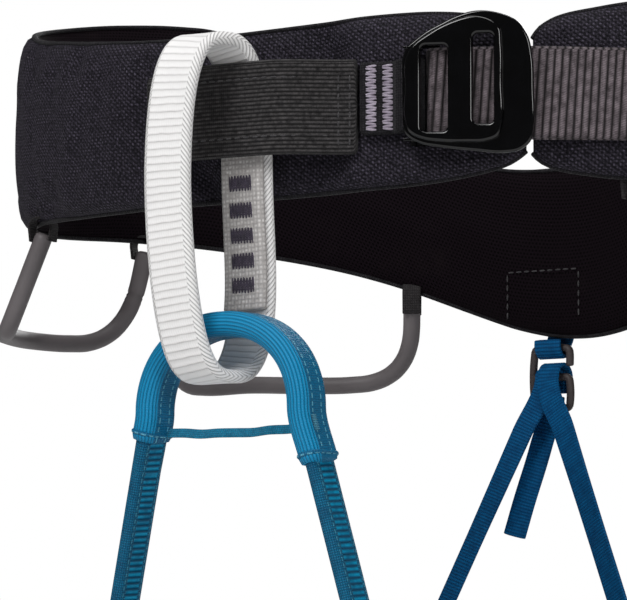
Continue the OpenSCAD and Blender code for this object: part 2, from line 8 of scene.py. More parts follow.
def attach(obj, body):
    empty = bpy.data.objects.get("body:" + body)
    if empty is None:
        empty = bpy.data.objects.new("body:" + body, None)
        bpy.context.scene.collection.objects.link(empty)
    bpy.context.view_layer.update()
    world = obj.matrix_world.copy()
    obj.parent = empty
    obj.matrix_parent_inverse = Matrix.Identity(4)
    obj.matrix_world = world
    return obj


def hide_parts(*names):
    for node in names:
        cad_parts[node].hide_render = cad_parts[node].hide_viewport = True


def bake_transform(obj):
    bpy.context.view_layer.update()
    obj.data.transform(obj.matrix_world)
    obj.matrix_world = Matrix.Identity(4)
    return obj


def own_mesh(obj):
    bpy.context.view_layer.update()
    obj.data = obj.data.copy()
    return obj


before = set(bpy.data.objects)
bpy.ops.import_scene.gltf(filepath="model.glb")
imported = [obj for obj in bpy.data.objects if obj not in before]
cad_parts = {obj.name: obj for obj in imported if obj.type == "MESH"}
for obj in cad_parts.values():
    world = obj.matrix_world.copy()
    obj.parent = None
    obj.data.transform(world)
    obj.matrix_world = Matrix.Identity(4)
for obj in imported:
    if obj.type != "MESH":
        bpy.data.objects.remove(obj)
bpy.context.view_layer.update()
random.seed(7)
MM = 0.001
RIGHT, LEFT = -1, 1

# ---------- Curves of the harness, in millimetres, as in the CAD ----------
HALF_W, HALF_D, THICK = 146.0, 98.0, 9.0
BELT_START, BELT_END = -316.6, 42.4  # degrees round the waist from the front; the gap between is the opening
BELT_TOP = np.array([
    [-316.6, 21.5], [-315.5, 25], [-312.5, 28.5], [-309, 30.5], [-302, 32], [-290, 37],
    [-275, 45], [-262, 52], [-248, 56], [-235, 55], [-222, 41], [-210, 23], [-198, 7],
    [-190, 1.5], [-180, 0.5], [-171, 1.5], [-164, 6], [-150, 23], [-138, 42], [-128, 55],
    [-118, 57], [-105, 56], [-95, 54], [-79, 49.5], [-61, 43.5], [-50, 38], [-41, 35.5],
    [-35, 33.5], [-24, 30.5], [-13, 28], [-6, 27.5], [8, 28], [23, 30], [33, 30],
    [38.5, 28], [41.3, 25], [42.4, 22]])
BELT_BOTTOM = np.array([
    [-316.6, -17], [-315.5, -19.5], [-313, -22], [-309, -23.5], [-302, -24.5], [-285, -25],
    [-255, -23], [-240, -23.5], [-228, -26.5], [-216, -36], [-205, -49], [-195, -58.5],
    [-187, -61], [-180, -60.5], [-174, -56], [-168, -51], [-161, -44], [-155, -39],
    [-150, -35], [-142, -31], [-135, -28], [-120, -24], [-104, -23], [-76, -25], [-46, -26],
    [-37, -27], [-24, -27.7], [8, -27.7], [24, -26.2], [31, -25], [38.5, -21.5],
    [41, -18.5], [42.4, -16]])
LEG_TOP = np.array([[0, -207], [45, -200], [90, -199], [135, -204], [180, -211],
                    [225, -219], [270, -219], [315, -211], [360, -207]])
LEG_BOTTOM = np.array([[0, -240], [45, -254], [90, -264], [135, -270], [180, -270],
                       [225, -264], [270, -253], [315, -243], [360, -240]])
LEG_W, LEG_D, LEG_X, LEG_Y = 74.0, 79.0, 80, -21  # half sizes of the left leg loop, and its middle
MID_X = 8.0  # the two leg loops mirror about this x


def smooth(t):
    """0 up to 0, 1 from 1 on, and a soft step between."""
    t = min(max(float(t), 0.0), 1.0)
    return t * t * (3 - 2 * t)


def mix(a, b, t):
    return a + (b - a) * t


def unit(v):
    v = np.asarray(v, float)
    return v / np.linalg.norm(v, axis=-1, keepdims=True)


def lookup(u, table):
    return np.interp(u, table[:, 0], table[:, 1])


def averaged(u, table):
    """The table's value at u with its corners rounded, less so near the belt's two ends."""
    r = min(3, max(0, min(u - BELT_START, BELT_END - u) / 3))
    return float(sum(lookup(u + k * r, table) for k in (-2, -1, 0, 1, 2)) / 5)


def oval(a, b, u, off):
    s, c = np.sin(np.radians(u)), np.cos(np.radians(u))
    n = np.hypot(s / a, c / b)
    return a * s + off * s / a / n, -b * c - off * c / b / n


def belt_pt(u, off, z):
    x, y = oval(HALF_W, HALF_D, u, off)
    return np.stack(np.broadcast_arrays(x, y, z), -1)


def belt_out(u):
    x, y = oval(HALF_W, HALF_D, u, 1.0)
    x0, y0 = oval(HALF_W, HALF_D, u, 0.0)
    return np.array([x - x0, y - y0, 0.0])


def belt_zt(u):
    return averaged(u, BELT_TOP)


def belt_zb(u):
    return averaged(u, BELT_BOTTOM)


def recess(u):
    return 4.5 * smooth((16 - abs(u - 4)) / 7)


def leg_pt(v, off, z):
    x, y = oval(LEG_W, LEG_D, v, off)
    return np.stack(np.broadcast_arrays(x + MID_X + LEG_X, y + LEG_Y, z), -1)


def leg_edge(v, table):
    return float(sum(k * lookup(np.mod(v + d, 360), table) for d, k in ((-15, 1), (0, 2), (15, 1)))) / 4


def mirrored(points, side):
    out = np.array(points, float)
    if side < 0:
        out[..., 0] = 2 * MID_X - out[..., 0]
    return out


def local_x(side, x):
    return 2 * MID_X - x if side < 0 else x


# ---------- Mesh builders ----------
TUBE_TURN = [0.31, 0.17, 0.93]  # the width direction that a tube starts from: no tube here runs along it


def put(name, data):
    """A new object in the scene."""
    ob = bpy.data.objects.new(name, data)
    bpy.context.scene.collection.objects.link(ob)
    return ob


def make_mesh(name, verts, faces, uvs, mat, body, replaced=()):
    """A piece on its body."""
    me = bpy.data.meshes.new(name)
    me.from_pydata((np.asarray(verts, float) * MM).tolist(), [], faces)
    layer = me.uv_layers.new(name="UVMap")
    layer.data.foreach_set("uv", np.asarray(uvs, np.float32).ravel())
    me.polygons.foreach_set("use_smooth", [True] * len(me.polygons))
    me.materials.append(mat)
    me.validate(clean_customdata=False)
    ob = put(name, me)
    if body:
        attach(ob, body)
    if replaced:
        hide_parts(*replaced)
    return ob


def grid_faces(pts, uu, vv, close_i=False, close_j=False, flip=False):
    """Quads and their UVs for a grid of points. uu and vv are per point, and one longer where it is closed."""
    n, m = pts.shape[:2]
    ni, mj = (n if close_i else n - 1), (m if close_j else m - 1)
    i, j = np.meshgrid(np.arange(ni), np.arange(mj), indexing="ij")
    i, j = i.ravel(), j.ravel()
    i2, j2 = i + 1, j + 1
    corners = [(i, j), (i2, j), (i2, j2), (i, j2)]
    if flip:
        corners = corners[::-1]
    faces = np.stack([(a % n) * m + (b % m) for a, b in corners], 1)
    uv = np.stack([np.stack([uu[a, b], vv[a, b]], -1) for a, b in corners], 1)
    return faces.tolist(), uv.reshape(-1, 2)


def grid(name, pts, uu, vv, mat, body, replaced=(), close_i=False, close_j=False, flip=False):
    faces, uv = grid_faces(pts, uu, vv, close_i, close_j, flip)
    return make_mesh(name, pts.reshape(-1, 3), faces, uv, mat, body, replaced)


def resample(points, step=1.0, closed=False):
    """A smooth curve through the points, at about that spacing."""
    p = np.asarray(points, float)
    if closed:
        p = np.concatenate([p[-2:], p, p[:3]])
    d = np.linalg.norm(np.diff(p[:, :3], axis=0), axis=1)
    s = np.concatenate([[0], np.cumsum(d)])
    t = np.zeros_like(p)
    h = np.diff(s)[:, None]
    g = np.diff(p, axis=0) / h
    t[1:-1] = (g[:-1] * h[1:] + g[1:] * h[:-1]) / (h[1:] + h[:-1])
    t[0], t[-1] = g[0], g[-1]
    a, b = (s[2], s[-3]) if closed else (s[0], s[-1])
    count = max(4, int(round((b - a) / step)))
    q = np.linspace(a, b, count + 1)
    if closed:
        q = q[:-1]
    k = np.clip(np.searchsorted(s, q, side="right") - 1, 0, len(s) - 2)
    w = ((q - s[k]) / (s[k + 1] - s[k]))[:, None]
    hk = (s[k + 1] - s[k])[:, None]
    return ((2 * w**3 - 3 * w**2 + 1) * p[k] + (w**3 - 2 * w**2 + w) * hk * t[k]
            + (-2 * w**3 + 3 * w**2) * p[k + 1] + (w**3 - w**2) * hk * t[k + 1])


def arc(p, closed=False):
    q = np.concatenate([p, p[:1]]) if closed else p
    return np.concatenate([[0], np.cumsum(np.linalg.norm(np.diff(q, axis=0), axis=1))])


def flat_section(hw, ht, faces=14, edges=4):
    """A strap's section with rounded edges: points (across, out), from the outer face round."""
    r = ht * 0.92
    out = [(x, ht) for x in np.linspace(hw - r, -hw + r, faces + 1)]
    out += [(-hw + r - r * math.sin(a), ht * math.cos(a)) for a in np.linspace(0, math.pi, edges + 2)[1:-1]]
    out += [(x, -ht) for x in np.linspace(-hw + r, hw - r, faces + 1)]
    out += [(hw - r + r * math.sin(a), -ht * math.cos(a)) for a in np.linspace(0, math.pi, edges + 2)[1:-1]]
    return np.array(out)


def ring_section(a, b, sides=10):
    """An oval section, a across and b out."""
    t = np.linspace(0, 2 * math.pi, sides, endpoint=False)
    return np.stack([a * np.cos(t), b * np.sin(t)], 1)


def frames(path, widths, closed=False):
    """Along, across and out at each point, from the width directions wanted."""
    if closed:
        t = np.roll(path, -1, 0) - np.roll(path, 1, 0)
    else:
        t = np.gradient(path, axis=0)
    t = unit(t)
    w = np.broadcast_to(np.asarray(widths, float), path.shape)
    n = unit(np.cross(t, w))
    v = unit(np.cross(n, t))
    return t, v, n


def strap(name, path, widths, hw, ht, mat, body, replaced=(), closed=False, step=1.0, section=None):
    """A flat strap along a smooth path. UV: u is the length along it, v the length round its section."""
    widths = np.broadcast_to(np.asarray(widths, float), (len(path), 3))
    pw = np.concatenate([np.asarray(path, float), widths], 1)
    pw = resample(pw, step, closed)
    p, w = pw[:, :3], pw[:, 3:]
    t, v, n = frames(p, w, closed)
    sec = flat_section(hw, ht) if section is None else section
    round_len = arc(sec, True)
    s = arc(p, closed)
    pts = p[:, None] + sec[:, :1] * v[:, None] + sec[:, 1:] * n[:, None]
    uu = np.repeat(s[:, None], len(sec) + 1, 1)
    vv = np.repeat(round_len[None, :], len(s), 0)
    if not closed:
        first, last = [], []
        for k, f in ((0.93, 0.35), (0.6, 0.55), (0.0, 0.6)):
            first.insert(0, p[0] - t[0] * ht * f + (pts[0] - p[0]) * k)
            last.append(p[-1] + t[-1] * ht * f + (pts[-1] - p[-1]) * k)
        pts = np.concatenate([first, pts, last])
        uu = np.concatenate([uu[:1]] * 3 + [uu] + [uu[-1:]] * 3)
        vv = np.concatenate([vv[:1]] * 3 + [vv] + [vv[-1:]] * 3)
    return grid(name, pts, uu, vv, mat, body, replaced, closed, True)


def tube(name, path, r, mat, body, replaced=(), sides=16, step=1.5, closed=False):
    strap(name, path, TUBE_TURN, r, r, mat, body, replaced, closed, step, section=ring_section(r, r, sides))


def bars(name, rows, mat, body, replaced=()):
    """Raised stitches: each row is (start, end, outward, half width, height)."""
    verts, faces, uvs = [], [], []
    for a, b, out, hw, h in rows:
        a, b, out = np.array(a, float), np.array(b, float), unit(np.array(out, float))
        d = b - a
        side = unit(np.cross(out, d))
        base = len(verts)
        for i, s in enumerate(np.linspace(0, 1, 7)):
            k = math.sin(math.pi * min(1, max(0.0, s * 0.86 + 0.07))) ** 0.45
            for c in np.linspace(0, math.pi, 6):
                verts.append(a + d * s + side * hw * k * math.cos(c) + out * h * k * math.sin(c))
        for i in range(6):
            for j in range(5):
                q = base + i * 6 + j
                faces.append([q, q + 1, q + 7, q + 6])
                uvs += [(i, j), (i, j + 1), (i + 1, j + 1), (i + 1, j)]
    return make_mesh(name, verts, faces, uvs, mat, body, replaced)


def stitch_row(points, out, length=2.2, gap=1.1, hw=0.3, h=0.3):
    """Rows for bars(): a run of stitches along the points, which lie on a surface."""
    p = resample(points, 0.4)
    o = np.broadcast_to(np.asarray(out, float), (len(points), 3))
    fine, given = np.linspace(0, 1, len(p)), np.linspace(0, 1, len(points))
    oo = np.stack([np.interp(fine, given, o[:, k]) for k in range(3)], 1)
    s = arc(p)
    rows, x = [], gap / 2
    while x + length < s[-1]:
        a, b, m = (np.array([np.interp(x + d, s, q[:, k]) for k in range(3)])
                   for d, q in ((0, p), (length, p), (length / 2, oo)))
        rows.append((a, b, m, hw, h))
        x += length + gap
    return rows


def bartack(centre, across, along, out, w, h, count, hw=None):
    """Zigzag stitches, w across and h along, for bars()."""
    c, across, along = np.array(centre, float), unit(np.array(across, float)), unit(np.array(along, float))
    pitch = h / count
    rows = []
    for k in range(count):
        y = -h / 2 + (k + 0.5) * pitch
        lean = pitch * 0.2 * (1 if k % 2 else -1)
        jit = random.uniform(-0.15, 0.15)
        a = c - across * (w / 2 + jit) + along * (y - lean)
        b = c + across * (w / 2 - jit) + along * (y + lean)
        rows.append((a, b, out, hw or pitch * 0.46, 0.42))
    return rows


# ---------- Materials ----------
class Term:
    """A value in a node tree, with arithmetic that adds Math nodes."""
    def __init__(self, tree, out):
        self.tree, self.out = tree, out

    def into(self, socket):
        self.tree.links.new(self.out, socket)

    def op(self, kind, *others):
        n = self.tree.nodes.new("ShaderNodeMath")
        n.operation = kind
        for k, v in enumerate((self, *others)):
            if isinstance(v, Term):
                v.into(n.inputs[k])
            else:
                n.inputs[k].default_value = v
        return Term(self.tree, n.outputs[0])

    def __add__(self, o): return self.op("ADD", o)
    def __sub__(self, o): return self.op("SUBTRACT", o)
    def __mul__(self, o): return self.op("MULTIPLY", o)
    def __truediv__(self, o): return self.op("DIVIDE", o)
    def __pow__(self, o): return self.op("POWER", o)
    def sin(self): return self.op("SINE")
    def abs(self): return self.op("ABSOLUTE")
    def floor(self): return self.op("FLOOR")
    def fract(self): return self.op("FRACT")
    def less(self, o): return self.op("LESS_THAN", o)
    def more(self, o): return self.op("GREATER_THAN", o)
    def rib(self, pitch): return (self * (math.pi / pitch)).sin().abs()
    def odd(self): return (self * 0.5).fract() * 2.0
    def lerp(self, a, b):
        """a where this is 0, b where it is 1."""
        return self.op("MULTIPLY_ADD", -1.0, 1.0) * a + self * b

    def rgb(self, tint):
        """The colour tint, scaled by this."""
        n = self.tree.nodes.new("ShaderNodeVectorMath")
        n.operation = "SCALE"
        n.inputs[0].default_value = tint
        self.into(n.inputs["Scale"])
        return Term(self.tree, n.outputs[0])

    def ramp(self, lo, hi):
        """A soft step from 0 at lo to 1 at hi."""
        n = self.tree.nodes.new("ShaderNodeMapRange")
        n.interpolation_type = "SMOOTHSTEP"
        self.into(n.inputs[0])
        n.inputs[1].default_value, n.inputs[2].default_value = lo, hi
        return Term(self.tree, n.outputs[0])


class Graph:
    """A material: u and v are millimetres along the piece and round its section."""
    def __init__(self, name):
        self.mat = bpy.data.materials.new(name)
        self.mat.use_nodes = True
        self.tree = self.mat.node_tree
        self.bsdf = self.tree.nodes["Principled BSDF"]
        uv = self.tree.nodes.new("ShaderNodeUVMap")
        uv.uv_map = "UVMap"
        sep = self.tree.nodes.new("ShaderNodeSeparateXYZ")
        self.tree.links.new(uv.outputs[0], sep.inputs[0])
        self.u, self.v = Term(self.tree, sep.outputs[0]), Term(self.tree, sep.outputs[1])
        self.coord = self.tree.nodes.new("ShaderNodeTexCoord")

    def noise(self, scale, detail=3.0):
        """Noise of about 1/scale millimetres."""
        n = self.tree.nodes.new("ShaderNodeTexNoise")
        n.inputs["Scale"].default_value = scale / MM
        n.inputs["Detail"].default_value = detail
        n.inputs["Roughness"].default_value = 0.55
        self.tree.links.new(self.coord.outputs["Object"], n.inputs["Vector"])
        return Term(self.tree, n.outputs[0])

    def color(self, a, b, fac):
        n = self.tree.nodes.new("ShaderNodeMix")
        n.data_type = "RGBA"
        for k, c in ((6, a), (7, b)):
            if isinstance(c, Term):
                c.into(n.inputs[k])
            else:
                n.inputs[k].default_value = (*c, 1)
        fac.into(n.inputs[0])
        return Term(self.tree, n.outputs[2])

    def finish(self, color, height, dist, rough, sheen=0.0, tint=(1, 1, 1), spec=0.5, sheen_rough=0.5,
               coat=0.0, coat_rough=0.03):
        """The material, with height as a bump of dist millimetres. rough is a number or a term."""
        b = self.bsdf.inputs
        if isinstance(color, Term):
            color.into(b["Base Color"])
        else:
            b["Base Color"].default_value = (*color, 1)
        if height is not None:
            n = self.tree.nodes.new("ShaderNodeBump")
            n.inputs["Distance"].default_value = dist * MM
            n.inputs["Strength"].default_value = 1.0
            height.into(n.inputs["Height"])
            self.tree.links.new(n.outputs[0], b["Normal"])
        if isinstance(rough, Term):
            rough.into(b["Roughness"])
        else:
            b["Roughness"].default_value = rough
        b["Sheen Tint"].default_value = (*tint, 1)
        for socket, value in (("Sheen Weight", sheen), ("Sheen Roughness", sheen_rough), ("Metallic", 0.0),
                              ("Specular IOR Level", spec), ("Coat Weight", coat), ("Coat Roughness", coat_rough)):
            b[socket].default_value = value
        return self.mat


def weave(g, pu, pv):
    """Over and under threads."""
    a, b = g.u / pu, g.v / pv
    over = (a.floor() + b.floor()).odd().more(0.5)
    wa, wb = (a * math.pi).sin().abs(), (b * math.pi).sin().abs()
    return over.lerp(wb * (wa * 0.5 + 0.5), wa * (wb * 0.5 + 0.5))


def near(term, value, half):
    return (term - value).abs().less(half)


def from_middle(v, face, edge):
    """Distance from the middle line of a strap's nearer face, from the length round its section."""
    return (v - face / 2).abs().op("MINIMUM", (v - face * 1.5 - edge).abs())


def shell_fabric():
    g = Graph("shell_fabric")
    w = weave(g, 1.1, 1.1)
    twill = (g.u * 0.75 + g.v).rib(1.6) * ((g.u - g.v * 0.7).rib(1.9) * 0.5 + 0.5)
    h = w * 0.45 + twill * 0.55
    # Painted highlight and shade: the raised threads get a lighter colour where this noise is high, and the
    # hollows between threads stay dark.
    painted_glint_mask = g.noise(0.9, 2.0)
    light = (h ** 2.5) * painted_glint_mask.ramp(0.25, 0.72)
    c = g.color((0.0026, 0.0020, 0.0042), (0.115, 0.100, 0.140), light)
    return g.finish(c, h, 0.42, 0.7, 0.05, (0.55, 0.5, 0.6), 0.14)


def liner_mesh():
    g = Graph("liner_mesh")
    a, b = g.u / 1.5, g.v / 1.3
    shift = b.floor().odd() * 0.5
    fa, fb = (a + shift).fract() - 0.5, b.fract() - 0.5
    hole = ((fa * fa) + (fb * fb)).ramp(0.04, 0.12)
    n = g.noise(0.05, 3.0)
    c = g.color((0.0006, 0.0003, 0.0006), (0.0065, 0.0038, 0.0058), hole)
    c = g.color(c, (0.011, 0.0075, 0.0085), n.ramp(0.55, 0.8) * 0.4)
    return g.finish(c, hole, 0.2, 0.9, 0.015, (0.5, 0.35, 0.4), 0.06)


def tape(name, dark, light, pitch=1.0, sheen=0.1):
    g = Graph(name)
    h = weave(g, pitch, pitch * 0.9)
    # Painted highlight and shade: the light colour goes on the raised threads and the dark one in the hollows
    # between them.
    c = g.color(dark, light, (h ** 2.0) * g.noise(0.5, 2.0).ramp(0.25, 0.8))
    return g.finish(c, h, 0.2, 0.75, sheen * 0.5, spec=0.14)


def band_webbing():
    g = Graph("band_webbing")
    rib = g.v.rib(1.3)
    knit = g.u.rib(0.8)
    h = (rib ** 0.7) * (knit * 0.25 + 0.75)
    # Painted highlight and shade: the rib crests get the lighter colour and the grooves between ribs the dark one.
    light = (rib ** 1.6) * g.noise(0.7, 2.0).ramp(0.1, 0.85)
    c = g.color((0.006, 0.0055, 0.006), (0.078, 0.073, 0.074), light)
    return g.finish(c, h, 0.5, 0.72, 0.05, spec=0.15)


def belt_webbing():
    g = Graph("belt_webbing")
    tilt = g.u + g.v * 0.07
    rib = tilt.rib(2.45)
    knit = (g.v + g.u * 0.4).rib(0.75)
    fine = weave(g, 0.9, 0.8)
    h = (rib ** 0.5) * 0.8 + fine * 0.2
    # Painted rib shading: the lighter rib centres are painted highlight and the dark between the ribs is painted
    # shade, broken up by the knit lines and noise.
    face = rib.ramp(0.05, 1.0)
    light = face * (knit * 0.5 + 0.5) * g.noise(0.35, 3.0).ramp(0.05, 0.8)
    c = g.color((0.010, 0.0075, 0.0085), (0.235, 0.195, 0.215), light)
    return g.finish(c, h, 0.75, 0.7, 0.06, spec=0.18)


def belay_webbing(hw=8.75, ht=2.15):
    g = Graph("belay_webbing")
    face = 2 * (hw - ht * 0.92)
    edge = math.pi * ht * 0.96
    v = g.v
    rib = (g.u + g.noise(0.25, 2.0) * 0.5).rib(2.35)
    knit = v.rib(0.9)
    in1 = v.more(face) * v.less(face + edge)
    in2 = v.more(2 * face + edge)
    on_edge = in1 + in2
    chev = (g.u * 1.0 + (v - face - edge / 2).abs() * 1.3).rib(1.3) * g.noise(1.3, 2.0).ramp(0.1, 0.7)
    chev2 = (g.u * 1.0 + (v - 2 * face - edge * 1.5).abs() * 1.3).rib(1.7)
    side = in1.lerp(chev2, chev)
    h = on_edge.lerp((rib ** 0.6) * (knit * 0.2 + 0.8), (side ** 0.6) * 0.8)
    shade = h.ramp(0.0, 0.85)
    n = g.noise(0.03, 3.0)
    c = g.color(on_edge.lerp(0.70, 0.42).rgb((1.0, 0.98, 0.97)), (0.93, 0.92, 0.915), shade)
    c = g.color(c, (0.70, 0.69, 0.70), n.ramp(0.5, 0.75) * 0.25)
    return g.finish(c, h, 0.3, 0.8, 0.25, spec=0.25, sheen_rough=0.4)


def sleeve_fabric(face, edge):
    g = Graph("sleeve_fabric")
    v = g.v
    front = v.more(face) * v.less(face + edge)
    rib_front = (v - face).rib(edge / 11) * (g.u.rib(0.8) * 0.35 + 0.65)
    side = g.u.rib(0.62)
    dist = from_middle(v, face, edge)
    stitch = near(dist, 2.3, 0.28) * (g.u / 2.3).fract().less(0.62)
    cross = weave(g, 0.75, 0.75)
    h = front.lerp(cross * 0.5 + side * 0.15, (rib_front ** 0.6))
    h = h + (stitch * 0.5)
    # Painted highlight and shade: lighter on the rib crests of the front and on the raised threads elsewhere,
    # darker in the grooves.
    light = front.lerp(cross * 0.35, (rib_front ** 0.9) * 0.55 + 0.4)
    c = g.color((0.0, 0.095, 0.21), (0.0, 0.27, 0.53), light)
    c = g.color(c, (0.12, 0.42, 0.58), stitch)
    return g.finish(c, h, 0.34, 0.5, 0.1, (0.2, 0.7, 1.0), 0.3, 0.4)


def ladder_webbing(name, face, edge):
    g = Graph(name)
    v = g.v
    rung = g.u.rib(1.9)
    x = from_middle(v, face, edge)
    centre = x.ramp(face * 0.40, face * 0.34)
    border = weave(g, 0.8, 0.7)
    stitch = near(x, face * 0.48, 0.22) * (g.u / 2.2).fract().less(0.6)
    h = centre.lerp(border * 0.5, (rung ** 0.7)) + (stitch * 0.4)
    # Painted highlight and shade: the rungs and raised border threads get the lighter colour, the gaps between
    # them the dark one.
    light = centre.lerp(border * 0.45, (rung ** 2.0))
    c = g.color((0.0, 0.060, 0.140), (0.0, 0.31, 0.55), light * g.noise(0.25, 3.0).ramp(0.05, 0.75))
    c = g.color(c, (0.10, 0.42, 0.58), stitch * 0.6)
    return g.finish(c, h, 0.5, 0.55, 0.1, (0.2, 0.7, 1.0), 0.22, 0.4)


def riser_webbing():
    g = Graph("riser_webbing")
    rib = g.u.rib(1.15)
    line = g.v.rib(1.0)
    h = rib * 0.75 + line * 0.25
    # Painted highlight and shade: the raised ribs get the lighter colour, the grooves between them the dark one.
    c = g.color((0.0, 0.050, 0.150), (0.0, 0.115, 0.300), (h ** 1.4) * g.noise(0.3, 2.0).ramp(0.05, 0.8))
    return g.finish(c, h, 0.3, 0.65, 0.06, (0.1, 0.5, 1.0), 0.12, 0.4)


def plastic(name, a, b, spec):
    g = Graph(name)
    n = g.noise(0.6, 4.0)
    c = g.color(a, b, g.noise(0.03, 3.0).ramp(0.35, 0.7))
    return g.finish(c, n, 0.05, 0.5, spec=spec)


def gloss_black():
    g = Graph("anodised_metal")
    n = g.noise(0.15, 2.0)
    c = g.color((0.0004, 0.0004, 0.0006), (0.0009, 0.0009, 0.0013), n.ramp(0.3, 0.7))
    r = n.ramp(0.2, 0.9) * 0.05 + 0.06
    return g.finish(c, g.noise(0.02, 2.0), 0.06, r, spec=0.38, coat=0.25, coat_rough=0.04)


def thread(name, a, b):
    g = Graph(name)
    twist = ((g.u * 2.2 + g.v) * 1.6).sin().abs()
    # Painted highlight and shade: the twist ridges get the lighter colour, the grooves between them the dark one.
    c = g.color(a, b, twist * g.noise(0.5, 2.0).ramp(0.2, 0.8))
    return g.finish(c, twist, 0.12, 0.6, 0.2, spec=0.4, sheen_rough=0.4)


SLEEVE_HW, SLEEVE_HT = 7.5, 4.0
M_SHELL, M_LINER = shell_fabric(), liner_mesh()
M_EDGE = tape("edge_binding", (0.006, 0.0055, 0.007), (0.04, 0.037, 0.043))
M_TAB = tape("tab_tape", (0.006, 0.0055, 0.007), (0.032, 0.03, 0.035), 0.9)
M_BAND, M_BELTWEB = band_webbing(), belt_webbing()
M_BELAY = belay_webbing()
M_LAP = tape("belay_lap", (0.40, 0.38, 0.37), (0.80, 0.78, 0.77), 1.5, 0.2)
M_SLEEVE = sleeve_fabric(2 * (SLEEVE_HW - SLEEVE_HT * 0.92), math.pi * SLEEVE_HT * 0.96)
M_LADDER = ladder_webbing("bridge_webbing", 2 * (6.25 - 2.1 * 0.92), math.pi * 2.1 * 0.96)
M_LEGWEB = ladder_webbing("leg_webbing", 2 * (8 - 0.8 * 0.92), math.pi * 0.8)
M_KEEP = tape("keeper_tape", (0.0, 0.13, 0.24), (0.01, 0.30, 0.50), 0.8, 0.3)
M_RISER = riser_webbing()
M_GEAR = plastic("gear_tube", (0.128, 0.115, 0.119), (0.170, 0.153, 0.158), 0.4)
M_GEARTAB = tape("gear_tab_tape", (0.022, 0.020, 0.021), (0.060, 0.055, 0.057), 0.9)
M_HOOK = plastic("hook_plastic", (0.045, 0.036, 0.036), (0.07, 0.058, 0.058), 0.3)
M_GLOSS = gloss_black()
M_PALE = thread("pale_thread", (0.30, 0.25, 0.32), (0.62, 0.56, 0.66))
M_DARK = thread("dark_thread", (0.020, 0.014, 0.030), (0.095, 0.075, 0.12))
M_BLACK_THREAD = thread("black_thread", (0.02, 0.018, 0.022), (0.09, 0.085, 0.09))
M_GREY_THREAD = thread("grey_thread", (0.10, 0.09, 0.10), (0.24, 0.22, 0.24))
M_BLUE_THREAD = thread("blue_thread", (0.03, 0.26, 0.42), (0.12, 0.45, 0.62))


# ---------- Padded parts ----------
def pad_section(hh, ht, count_out, count_in):
    """A puffed section: (out, up) points from the lower seam over the outer face, then back inside."""
    a = np.linspace(-math.pi / 2, math.pi / 2, 400)
    x = ht * np.sign(np.cos(a)) * np.abs(np.cos(a)) ** (2 / 2.3)
    z = hh * np.sign(np.sin(a)) * np.abs(np.sin(a)) ** (2 / 4.2)
    s = np.concatenate([[0], np.cumsum(np.hypot(np.diff(x), np.diff(z)))])
    def pick(count):
        q = np.linspace(0, s[-1], count)
        return np.stack([np.interp(q, s, x), np.interp(q, s, z)], 1)
    o = pick(count_out)
    i = pick(count_in)[::-1] * [-1, 1]
    return o, i


def puff(points, close_i, pins, pressure=4.0, cap=2.0, grow=0.03, last=18):
    """How the cloth moves when the pad is inflated, as an offset for each point, in millimetres."""
    n, m = points.shape[:2]
    faces, _ = grid_faces(points, np.zeros((n + 1, m + 1)), np.zeros((n + 1, m + 1)), close_i, True)
    if not close_i:
        faces += [list(range(m))[::-1], [(n - 1) * m + k for k in range(m)]]
    me = bpy.data.meshes.new("sim")
    me.from_pydata((points.reshape(-1, 3) * MM).tolist(), [], faces)
    ob = put("sim", me)
    group = ob.vertex_groups.new(name="pins")
    group.add([int(k) for k in np.flatnonzero(pins.ravel())], 1.0, "REPLACE")
    mod = ob.modifiers.new("cloth", "CLOTH")
    st = mod.settings
    st.quality = 4
    st.mass = 0.3
    st.tension_stiffness = st.compression_stiffness = 12
    st.bending_stiffness = 0.3
    st.use_pressure = True
    st.uniform_pressure_force = pressure
    st.vertex_group_mass = "pins"
    st.shrink_min = -grow
    st.effector_weights.gravity = 0
    mod.collision_settings.use_collision = False
    mod.point_cache.frame_start, mod.point_cache.frame_end = 1, last + 2
    scene = bpy.context.scene
    for f in range(1, last + 1):
        scene.frame_set(f)
    dg = bpy.context.evaluated_depsgraph_get()
    got = ob.evaluated_get(dg).to_mesh()
    co = np.empty(len(got.vertices) * 3)
    got.vertices.foreach_get("co", co)
    move = co.reshape(n, m, 3) / MM - points
    ob.evaluated_get(dg).to_mesh_clear()
    bpy.data.objects.remove(ob)
    bpy.data.meshes.remove(me)
    scene.frame_set(1)
    size = np.linalg.norm(move, axis=-1, keepdims=True)
    move = np.where(np.isfinite(move), move, 0)
    return move * np.minimum(1, cap / np.maximum(size, 1e-6))


def upsample(move, n, m, close_i):
    """Bilinear, from the coarse simulated grid to the fine one. The rows of each half run between seams."""
    a = np.linspace(0, 1, move.shape[0] + (1 if close_i else 0))
    if close_i:
        move = np.concatenate([move, move[:1]])
    q = np.linspace(0, 1, n + (1 if close_i else 0))[:n]
    rows = np.stack([[np.interp(q, a, move[:, j, k]) for j in range(move.shape[1])] for k in range(3)], -1)
    rows = np.swapaxes(rows, 0, 1)
    b = np.linspace(0, 1, move.shape[1])
    r = np.linspace(0, 1, m)
    return np.stack([[np.interp(r, b, rows[i, :, k]) for i in range(n)] for k in range(3)], -1)


